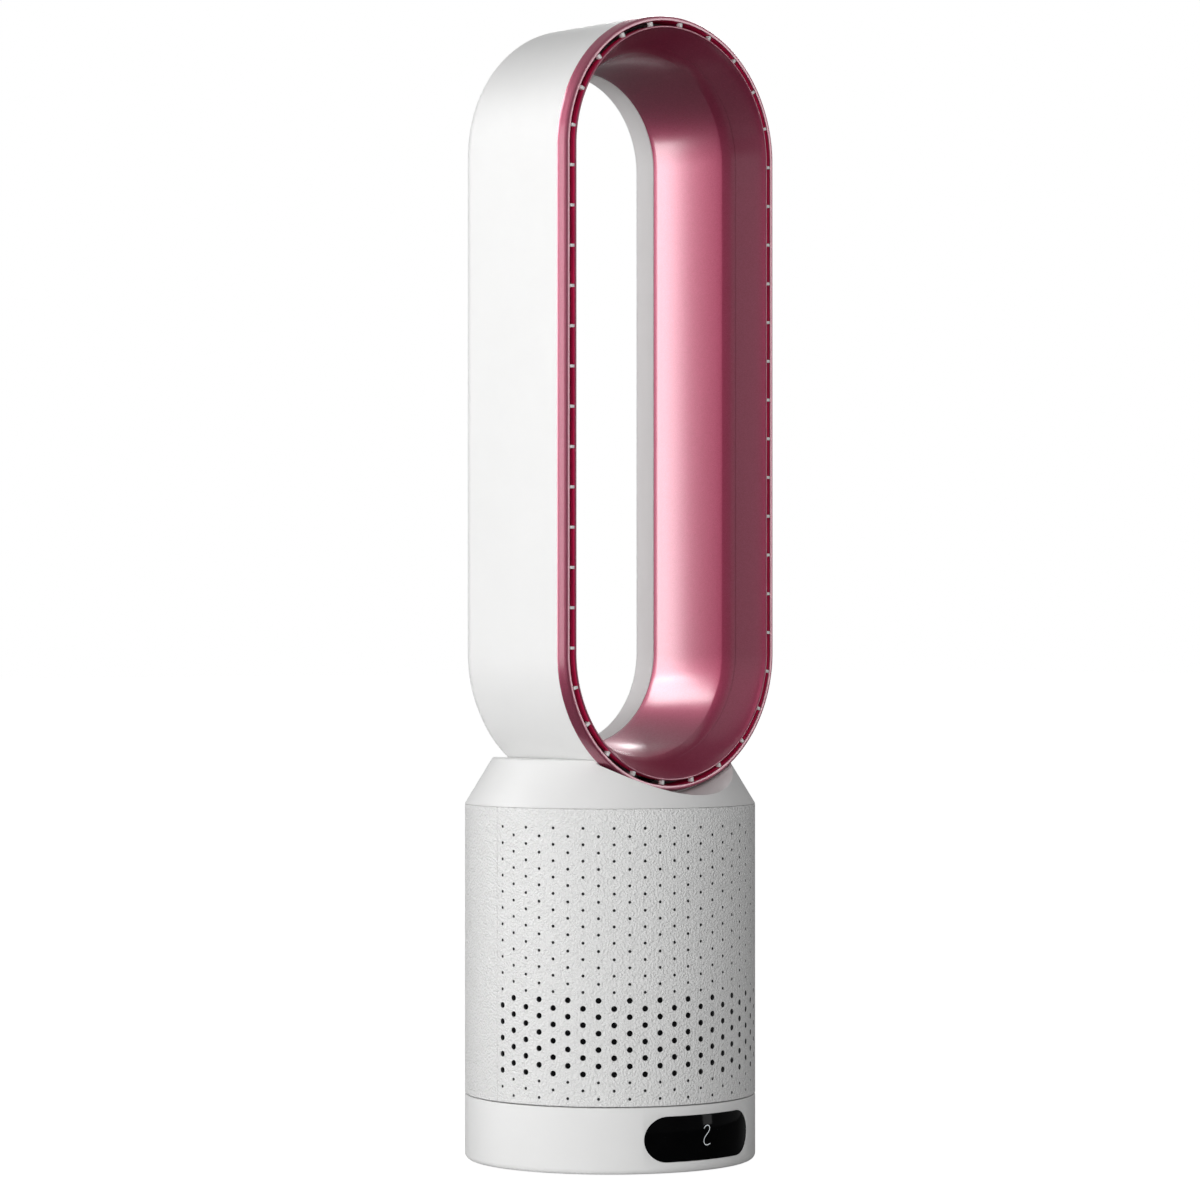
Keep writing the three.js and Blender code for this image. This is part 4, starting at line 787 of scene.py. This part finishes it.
class FAN_OT_front_flare(bpy.types.Operator):
    """Model the flared front ring with its rounded lip, and the spacers that stand in the air slot"""

    bl_idname = "fan.front_flare"
    bl_label = "Front Flare"

    def execute(self, context):
        loop = context.scene.fan_loop
        lip_outer = loop.slot_outer - loop.slot_width
        lip_inner = lip_outer - loop.lip
        front = -loop.front
        rear = front + loop.flare_depth
        bead = loop.lip / 2
        drop = lip_inner - loop.flare_inner
        curve = []
        for i in range(1, 9):
            share = i / 8
            curve.append((lip_inner - drop * share**1.15, front + bead + (rear - front - bead) * share))
        stations = [
            (lip_outer, front + 7 * MM),
            *arc(lip_inner + bead, front + bead, bead, 360, 180, 8),
            *curve,
            (loop.flare_inner + loop.wall, rear),
        ]
        flare = loop_ring("front_flare", stations)
        smooth(flare, 40)
        dress(flare, "upper", "rose_metallic")

        def in_slot(radius, y):
            """True on the lip's outer side behind its bead, and on the flare's back."""
            outside = radius > lip_outer - 2 * SLOT_TOLERANCE and y > front + bead - 0.01 * MM
            return outside or radius > loop.flare_inner + 1.2 * MM + (rear - y) * 0.6

        darken_slot(flare, in_slot)
        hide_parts("front_flare_ring")
        self.add_spacers(loop, lip_outer, front)
        return {"FINISHED"}

    def add_spacers(self, loop, lip_outer, front):
        """One small rounded block, copied along the slot."""
        reach = loop.slot_width - FIT_GAP
        middle = lip_outer + reach / 2 - 0.3 * MM
        blocks = []
        rest()
        bpy.ops.mesh.primitive_cube_add(size=1)
        first = bpy.context.object
        first.scale = (2.4 * MM, 5 * MM, reach + 0.6 * MM)
        take("slot_spacer")
        soften(first, 0.4 * MM, 30, 2)
        for angle, centre in spacer_places(loop, (lip_outer + loop.slot_outer) / 2):
            copy = twin(first)
            copy.rotation_euler = (0, angle, 0)
            copy.location = (middle * math.sin(angle), front + 3.4 * MM, centre + middle * math.cos(angle))
            blocks.append(copy)
        bpy.data.objects.remove(first)
        spacers = unite("slot_spacers", blocks)
        only(spacers)
        bpy.ops.object.transform_apply(location=True, rotation=True, scale=True)
        smooth(spacers, 40)
        dress(spacers, "upper", "white_plastic")


# ---------------------------------------------------------------- body
def body_wall(name, side):
    """Half of the body's round wall, at the front (-1) or the back (1)."""
    body = bpy.context.scene.fan_body
    edge = 0.5 * MM
    inner = body.radius - body.wall
    top = body.top - FIT_GAP
    wall = turned(
        name,
        [
            (inner, body.bottom),
            (body.radius - edge, body.bottom),
            (body.radius, body.bottom + edge),
            (body.radius, top - edge),
            (body.radius - edge, top),
            (inner, top),
        ],
    )
    edit(wall)
    bpy.ops.mesh.bisect(
        plane_co=(0, side * FIT_GAP / 2, 0), plane_no=(0, -side, 0), use_fill=True, clear_outer=True
    )
    return close(wall)


def hole_cutter(name, radius, depth, mouth, column, height, corners):
    """A round cutter through the wall, wider at its mouth, at one column's angle."""
    body = bpy.context.scene.fan_body
    angle = math.radians((column - (body.hole_columns - 1) / 2) * COLUMN_TURN)
    lip = 0.25 * MM
    middle = body.radius - lip - depth / 2
    rest()
    bpy.ops.mesh.primitive_cylinder_add(
        vertices=corners,
        radius=radius,
        depth=depth,
        location=(middle * math.sin(angle), -middle * math.cos(angle), height),
        rotation=(math.pi / 2, 0, angle),
    )
    cutter = take(name)
    outward = Vector((math.sin(angle), -math.cos(angle), 0))
    edit(cutter)
    select_faces(cutter, lambda face: face.normal.dot(outward) > 0.9)
    for step, growth in ((lip, mouth), (0.8 * MM, 1.0)):
        centre = outward * (body.radius - lip + step) + Vector((0, 0, height))
        bpy.ops.mesh.extrude_region_move(TRANSFORM_OT_translate={"value": outward * step})
        bpy.ops.transform.resize(value=(growth, growth, growth), center_override=centre)
    return close(cutter)


class FAN_OT_front_grille(bpy.types.Operator):
    """Model the perforated front half of the body: intake holes in staggered columns, and blind pits"""

    bl_idname = "fan.front_grille"
    bl_label = "Front Grille"

    def execute(self, context):
        body = context.scene.fan_body
        wall = body_wall("front_grille_wall", -1)
        rise = body.hole_pitch
        pits_above, pits_below = 11, 1
        cutters = []
        for column in (0, 1):
            lowest = body.hole_bottom + column * rise / 2
            hole = hole_cutter("hole", body.hole_radius, 4 * body.wall, 1.08, column, lowest, 16)
            cutters.append(repeat(hole, body.hole_rows, step=(0, 0, rise)))
            below = pits_below + column
            for start, count in ((5, pits_above - column), (-below, below)):
                pit = hole_cutter("pit", body.pit_radius, 1.9 * MM, 1.1, column, lowest + start * rise, 8)
                cutters.append(repeat(pit, count, step=(0, 0, rise)))
        for cutter in cutters:
            repeat(cutter, body.hole_columns // 2, turn=2 * COLUMN_TURN)
        combine(wall, unite("hole_field", cutters))
        smooth(wall, 30)
        dress(wall, "upper", "white_plastic", self.pebbled(context))
        self.paint_hole_shade(body, wall)
        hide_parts("front_grille")
        return {"FINISHED"}

    def paint_hole_shade(self, body, wall):
        """Paints the insides of the holes and pits, which lie in shade, near black: painted shade on walls that are
        the same white plastic.
        """
        inner = body.radius - body.wall

        def inside(face):
            centre = face.calc_center_median()
            deep = inner + 0.1 * MM < centre.xy.length < body.radius - 0.26 * MM
            return deep and centre.y < -3 * MM and body.bottom + 1 * MM < centre.z < body.top - 1 * MM

        # painted shade: a near-black colour on the hole and pit walls stands in for the shade that falls inside them
        paint_faces(wall, moulded_plastic("fan_hole_shade", (0.05, 0.05, 0.052), 0.7, 0.1), inside)

    @staticmethod
    def pebbled(context):
        name = "fan_pebbled_white"
        if name in bpy.data.materials:
            return bpy.data.materials[name]
        return pebbled_plastic(name, context.scene.fan_finishes.white)


class FAN_OT_rear_cover(bpy.types.Operator):
    """Model the plain rear half of the body"""

    bl_idname = "fan.rear_cover"
    bl_label = "Rear Cover"

    def execute(self, context):
        wall = body_wall("rear_cover_wall", 1)
        smooth(wall, 30)
        dress(wall, "upper", "white_plastic", FAN_OT_front_grille.pebbled(context))
        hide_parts("rear_cover")
        return {"FINISHED"}


class FAN_OT_shoulder(bpy.types.Operator):
    """Model the conical shoulder with the stepped notch that the loop stands in"""

    bl_idname = "fan.shoulder"
    bl_label = "Shoulder"

    def cone(self, name, spigot, bottom, lower, middle, upper, top):
        """A drum with a narrower top and a spigot below."""
        piece = drum(name, lower, middle, top)
        edit(piece)
        select_faces(piece, lambda face: face.normal.z > 0.9)
        share = upper / lower
        bpy.ops.transform.resize(value=(share, share, 1), center_override=(0, 0, top))
        select_faces(piece, lambda face: face.normal.z < -0.9)
        if spigot < lower:
            bpy.ops.mesh.inset(thickness=lower - spigot)
        bpy.ops.mesh.extrude_region_move(TRANSFORM_OT_translate={"value": (0, 0, bottom - middle)})
        return close(piece)

    def trough(self, name, extra):
        """The racetrack space round the loop, wider in front of the white shell."""
        loop = bpy.context.scene.fan_loop
        shell_front = -loop.front + loop.bezel_depth + FIT_GAP
        behind = loop_plug(name, loop.shell_radius + FIT_GAP + extra, shell_front - 1 * MM, FAR / 2)
        before = loop_plug("bezel_space", loop.radius + 1.2 * MM + extra, -FAR / 2, shell_front + extra)
        return combine(behind, before, "UNION")

    def execute(self, context):
        body = context.scene.fan_body
        spigot = body.radius - body.wall - FIT_GAP
        bottom = body.top - 12 * MM
        wall = 3 * MM
        housing = self.cone(
            "shoulder", spigot, bottom, body.radius, body.top, body.shoulder_radius, body.shoulder_top
        )
        edit(housing)
        select_points(housing, lambda point: point.z > body.shoulder_top - 0.1 * MM)
        bpy.ops.mesh.bevel(offset=1.6 * MM, segments=4, affect="EDGES")
        close(housing)
        hollow = self.cone(
            "shoulder_hollow",
            spigot - wall,
            bottom - 1 * MM,
            spigot - wall,
            body.top,
            body.shoulder_radius - wall,
            body.shoulder_top - wall,
        )
        combine(hollow, self.trough("inner_trough", wall))
        combine(housing, self.trough("outer_trough", 0))
        combine(housing, hollow)
        combine(housing, oval_cutter("neck_way", 52.3 * MM, 34.3 * MM, FAR, body.top))
        smooth(housing, 24)
        dress(housing, "upper", "white_plastic")
        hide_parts("shoulder_housing")
        return {"FINISHED"}


# ---------------------------------------------------------------- base
def window_cutter(name, margin):
    """The display window's pill outline, run through the front wall."""
    base = bpy.context.scene.fan_base
    radius = base.window_half_height + margin
    straight = base.window_half_length - base.window_half_height
    rest()
    bpy.ops.mesh.primitive_cylinder_add(
        vertices=66, radius=radius, depth=40 * MM, location=(0, -0.115, 0), rotation=(math.pi / 2, math.pi / 2, 0)
    )
    cutter = take(name)
    edit(cutter)
    for side in (1, -1):
        select_points(cutter, lambda point: point.x * side > 0)
        bpy.ops.transform.translate(value=(side * straight, 0, 0))
    bpy.ops.mesh.select_all(action="SELECT")
    bpy.ops.transform.translate(value=(0, 0, base.window_height))
    return close(cutter)


class FAN_OT_control_ring(bpy.types.Operator):
    """Model the fixed base ring with its rounded foot edge, display window and socket hole"""

    bl_idname = "fan.control_ring"
    bl_label = "Control Ring"

    def execute(self, context):
        base = context.scene.fan_base
        body = context.scene.fan_body
        edge = 0.9 * MM
        inside = body.radius - base.wall
        plate = body.radius - 8 * MM
        foot = base.foot_edge
        groove_outer, groove_inner, groove_floor = 72.3 * MM, 59.7 * MM, base.top - 1.5 * MM
        hub_hole, deck_bottom = 46.6 * MM, base.top - 3 * MM
        stations = [
            (plate, base.bottom),
            *arc(body.radius - foot, base.bottom + foot, foot, -90, 0, 6),
            *arc(body.radius - edge, base.top - edge, edge, 0, 90, 3),
            (groove_outer, base.top),
            (groove_outer, groove_floor),
            (groove_inner, groove_floor),
            (groove_inner, base.top),
            (hub_hole, base.top),
            (hub_hole, deck_bottom),
            (inside, deck_bottom),
            (inside, base.bottom + 8 * MM),
            (plate, base.bottom + 3 * MM),
        ]
        ring = turned("base_ring", stations)
        combine(ring, window_cutter("window", FIT_GAP))
        rest()
        bpy.ops.mesh.primitive_cylinder_add(
            vertices=32, radius=6.3 * MM, depth=10 * MM, location=(0, 0.119, 0.020), rotation=(math.pi / 2, 0, 0)
        )
        combine(ring, take("socket_hole"))
        soften(ring, 0.35 * MM, 60, 2)
        smooth(ring, 30)
        dress(ring, "base", "white_plastic")
        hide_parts("control_ring")
        return {"FINISHED"}


class FAN_OT_display(bpy.types.Operator):
    """Model the gloss black display window and its lit digit"""

    bl_idname = "fan.display"
    bl_label = "Display"

    def execute(self, context):
        base = context.scene.fan_base
        body = context.scene.fan_body
        inner = body.radius - 2.4 * MM
        low = base.window_height - base.window_half_height - 4 * MM
        high = base.window_height + base.window_half_height + 4 * MM
        lens = turned("display_window", [(inner, low), (body.radius, low), (body.radius, high), (inner, high)])
        combine(lens, window_cutter("window_fill", 0), "INTERSECT")
        soften(lens, 0.3 * MM, 60, 2)
        smooth(lens, 30)
        dress(lens, "base", "black_gloss")
        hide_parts("display_lens")
        self.add_digit(context)
        return {"FINISHED"}

    def add_digit(self, context):
        """A curved figure two drawn with one thin stroke."""
        base = context.scene.fan_base
        body = context.scene.fan_body
        half = base.digit_height / 2
        stroke = [(-0.36, 0.66), (-0.18, 0.98), (0.34, 1.0), (0.42, 0.5), (0.02, 0.1), (-0.4, -0.3), (-0.42, -0.86),
                  (0.0, -1.06), (0.44, -0.84)]
        rest()
        bpy.ops.curve.primitive_nurbs_path_add(radius=1)
        path = bpy.context.object
        path.name = "display_digit"
        line = path.data
        line.splines.clear()
        spline = line.splines.new("NURBS")
        spline.points.add(len(stroke) - 1)
        for point, (x, z) in zip(spline.points, stroke):
            point.co = (x * half, -body.radius - 0.02 * MM, base.window_height + 1.5 * MM + z * half, 1)
        spline.use_endpoint_u = True
        spline.order_u = 4
        line.bevel_depth = 0.28 * MM
        line.bevel_resolution = 2
        line.resolution_u = 6
        line.use_fill_caps = True
        only(path)
        bpy.ops.object.convert(target="MESH")
        digit = bpy.context.object
        digit.data.name = "display_digit"
        edit(digit)
        bpy.ops.transform.resize(value=(1, 0.25, 1), center_override=(0, -body.radius, 0))
        close(digit)
        smooth(digit, 50)
        glow = lit_digit("fan_lit_digit", context.scene.fan_finishes.glow)
        dress(digit, "base", "white_digits", glow)


class FAN_OT_feet(bpy.types.Operator):
    """Model the rubber feet with their grooved treads, and the screws that hold the base plate"""

    bl_idname = "fan.feet"
    bl_label = "Feet and Screws"

    def foot(self, base):
        piece = drum("rubber_pad", base.foot_radius, 0, 3.2 * MM, 48)
        edit(piece)
        select_faces(piece, lambda face: face.normal.z < -0.9)
        for inset, rise in ((2 * MM, 0), (0.6 * MM, 0.8 * MM), (1.2 * MM, 0), (0.6 * MM, -0.8 * MM)):
            bpy.ops.mesh.inset(thickness=inset)
            bpy.ops.transform.translate(value=(0, 0, rise))
        close(piece)
        return smooth(soften(piece, 0.4 * MM, 50, 2), 40)

    def screw(self):
        """A countersunk head with a cross recess, facing down."""
        piece = drum("plate_screw", 3.7 * MM, 2.15 * MM, 3.5 * MM, 32)
        for turn in (0, math.pi / 2):
            rest()
            bpy.ops.mesh.primitive_cube_add(size=1, location=(0, 0, 2.2 * MM), rotation=(0, 0, turn))
            bpy.context.object.scale = (4.2 * MM, 1 * MM, 1.6 * MM)
            combine(piece, take("recess"))
        return smooth(soften(piece, 0.2 * MM, 50, 2), 40)

    def execute(self, context):
        base = context.scene.fan_base
        body = context.scene.fan_body
        reach = (base.foot_circle, body.radius - 14 * MM)
        originals = (self.foot(base), self.screw())
        slots = ("black_rubber", "steel")
        for original, distance, slot, start in zip(originals, reach, slots, (0, 45)):
            for i in range(4):
                angle = math.radians(start + 90 * i)
                copy = twin(original)
                copy.name = f"{original.name}_{i + 1}"
                copy.data.name = copy.name
                only(copy)
                copy.location = (distance * math.cos(angle), distance * math.sin(angle), 0)
                bpy.ops.object.transform_apply(location=True, rotation=True, scale=True)
                dress(copy, "base", slot)
                if slot == "black_rubber":
                    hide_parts(f"rubber_foot_{i + 1}")
            bpy.data.objects.remove(original)
        return {"FINISHED"}


# ---------------------------------------------------------------- studio
def seen_directly(tree, mirrored):
    """One for camera and glass rays, a share for mirror rays, nought for the light that falls on things."""
    path = tree.nodes.new("ShaderNodeLightPath")
    gloss = tree.nodes.new("ShaderNodeMath")
    gloss.operation = "MULTIPLY"
    gloss.inputs[1].default_value = mirrored
    tree.links.new(path.outputs["Is Glossy Ray"], gloss.inputs[0])
    share = gloss.outputs[0]
    for ray in ("Is Camera Ray", "Is Transmission Ray"):
        either = tree.nodes.new("ShaderNodeMath")
        either.operation = "MAXIMUM"
        tree.links.new(share, either.inputs[0])
        tree.links.new(path.outputs[ray], either.inputs[1])
        share = either.outputs[0]
    return share


class FAN_OT_studio(bpy.types.Operator):
    """Set up the pale floor, the white surroundings, the soft lights and the camera"""

    bl_idname = "fan.studio"
    bl_label = "Studio"

    def floor(self, context):
        rest()
        bpy.ops.mesh.primitive_plane_add(size=60)
        floor = take("studio_floor")
        material = bpy.data.materials.new("studio_floor")
        material.use_nodes = True
        tree = material.node_tree
        shader = tree.nodes["Principled BSDF"]
        shade = tree.nodes.new("ShaderNodeMix")
        shade.data_type = "RGBA"
        shade.inputs["A"].default_value = (*context.scene.fan_finishes.floor, 1)
        shade.inputs["B"].default_value = (FLOOR_MIRRORED, FLOOR_MIRRORED, FLOOR_MIRRORED, 1)
        ray = tree.nodes.new("ShaderNodeLightPath")
        tree.links.new(ray.outputs["Is Glossy Ray"], shade.inputs["Factor"])
        tree.links.new(shade.outputs["Result"], shader.inputs["Base Color"])
        shader.inputs["Roughness"].default_value = 0.9
        shader.inputs["Specular IOR Level"].default_value = 0.0
        pale = tree.nodes.new("ShaderNodeEmission")
        pale.inputs["Strength"].default_value = FLOOR_GLOW
        faint = tree.nodes.new("ShaderNodeBsdfDiffuse")
        faint.inputs["Color"].default_value = (SHADOW_TONE, SHADOW_TONE, SHADOW_TONE, 1)
        white = tree.nodes.new("ShaderNodeAddShader")
        tree.links.new(pale.outputs[0], white.inputs[0])
        tree.links.new(faint.outputs[0], white.inputs[1])
        mix = tree.nodes.new("ShaderNodeMixShader")
        tree.links.new(seen_directly(tree, FLOOR_MIRRORED), mix.inputs["Fac"])
        tree.links.new(shader.outputs[0], mix.inputs[1])
        tree.links.new(white.outputs[0], mix.inputs[2])
        tree.links.new(mix.outputs[0], tree.nodes["Material Output"].inputs["Surface"])
        floor.data.materials.append(material)

    def surroundings(self, context):
        world = bpy.data.worlds.new("studio")
        context.scene.world = world
        world.use_nodes = True
        tree = world.node_tree
        background = tree.nodes["Background"]
        background.inputs["Color"].default_value = (1, 1, 1, 1)
        level = tree.nodes.new("ShaderNodeMapRange")
        level.inputs["To Min"].default_value = context.scene.fan_studio.ambient
        level.inputs["To Max"].default_value = 1.0
        tree.links.new(seen_directly(tree, context.scene.fan_studio.mirrored), level.inputs["Value"])
        tree.links.new(level.outputs["Result"], background.inputs["Strength"])

    def softbox(self, name, place, width, height, power):
        """An area lamp that faces the fan's middle; each one either lights surfaces or shows in gloss."""
        rest()
        turn = (Vector((0, 0, 0.5)) - Vector(place)).to_track_quat("-Z", "Y").to_euler()
        bpy.ops.object.light_add(type="AREA", location=place, rotation=turn)
        lamp = bpy.context.object
        lamp.name = name
        lamp.data.shape = "RECTANGLE"
        lamp.data.size = width
        lamp.data.size_y = height
        lamp.data.energy = power
        return lamp

    def camera(self, context):
        studio = context.scene.fan_studio
        rest()
        turn = studio.camera_turn
        place = Vector(
            (math.sin(turn) * studio.camera_distance, -math.cos(turn) * studio.camera_distance, studio.camera_height)
        )
        forward = Vector((-math.sin(turn), math.cos(turn), 0))
        left = Vector((-math.cos(turn), -math.sin(turn), 0))
        aim = place + forward * studio.camera_distance + left * studio.aim_left + Vector((0, 0, studio.aim_up))
        facing = (aim - place).to_track_quat("-Z", "Y").to_euler()
        bpy.ops.object.camera_add(location=place, rotation=facing)
        camera = bpy.context.object
        camera.name = "studio_camera"
        camera.data.lens = studio.focal
        camera.data.sensor_width = 36
        camera.data.clip_end = 100
        context.scene.camera = camera

    def execute(self, context):
        studio = context.scene.fan_studio
        self.floor(context)
        self.surroundings(context)
        lights, mirrors = {"visible_glossy": False}, {"visible_diffuse": False}
        for name, place, width, height, part in (
            ("key", (-2.7, -0.15, 0.55), 1.4, 1.4, lights),
            ("strip", (-1.73, 1.76, 0.75), 0.75, 1.5, mirrors),
            ("rear", (-1.4, 1.65, 1.8), 1.2, 1.0, mirrors),
            ("edge", (-1.4, 1.65, 1.6), 1.2, 1.0, lights),
            ("fill", (-1.9, -2.2, 0.8), 1.2, 1.2, lights),
            ("side", (-2.3, 0.72, 0.8), 0.5, 1.6, mirrors),
            ("front", (1.63, -1.9, 0.75), 0.4, 1.2, mirrors),
            ("high", (1.95, 1.46, 2.1), 1.4, 1.0, mirrors),
        ):
            lamp = self.softbox(f"{name}_light", place, width, height, getattr(studio, name))
            for flag, value in part.items():
                setattr(lamp, flag, value)
        self.camera(context)
        context.scene.view_settings.view_transform = "Standard"
        return {"FINISHED"}


# ---------------------------------------------------------------- panel and registration
OPERATORS = (
    FAN_OT_carried_nodes,
    FAN_OT_rear_shell,
    FAN_OT_inner_liner,
    FAN_OT_front_bezel,
    FAN_OT_front_flare,
    FAN_OT_front_grille,
    FAN_OT_rear_cover,
    FAN_OT_shoulder,
    FAN_OT_control_ring,
    FAN_OT_display,
    FAN_OT_feet,
    FAN_OT_studio,
)
GROUPS = {
    "fan_loop": FanLoopSizes,
    "fan_body": FanBodySizes,
    "fan_base": FanBaseSizes,
    "fan_finishes": FanFinishes,
    "fan_studio": FanStudio,
}


class FAN_PT_panel(bpy.types.Panel):
    """Sizes, finishes and steps of the tower fan"""

    bl_idname = "FAN_PT_panel"
    bl_label = "Tower Fan"
    bl_space_type = "VIEW_3D"
    bl_region_type = "UI"
    bl_category = "Tower Fan"

    def draw(self, context):
        for operator in OPERATORS:
            self.layout.operator(operator.bl_idname)
        for group in GROUPS:
            box = self.layout.box()
            settings = getattr(context.scene, group)
            for name in settings.__annotations__:
                box.prop(settings, name)


def register():
    for group in GROUPS.values():
        bpy.utils.register_class(group)
    for name, group in GROUPS.items():
        setattr(bpy.types.Scene, name, PointerProperty(type=group))
    for operator in OPERATORS:
        bpy.utils.register_class(operator)
    bpy.utils.register_class(FAN_PT_panel)


def unregister():
    bpy.utils.unregister_class(FAN_PT_panel)
    for operator in reversed(OPERATORS):
        bpy.utils.unregister_class(operator)
    for name in GROUPS:
        delattr(bpy.types.Scene, name)
    for group in reversed(GROUPS.values()):
        bpy.utils.unregister_class(group)


def main():
    register()
    for operator in OPERATORS:
        step = operator.bl_idname.split(".")[1]
        getattr(bpy.ops.fan, step)()


if __name__ == "__main__":
    main()
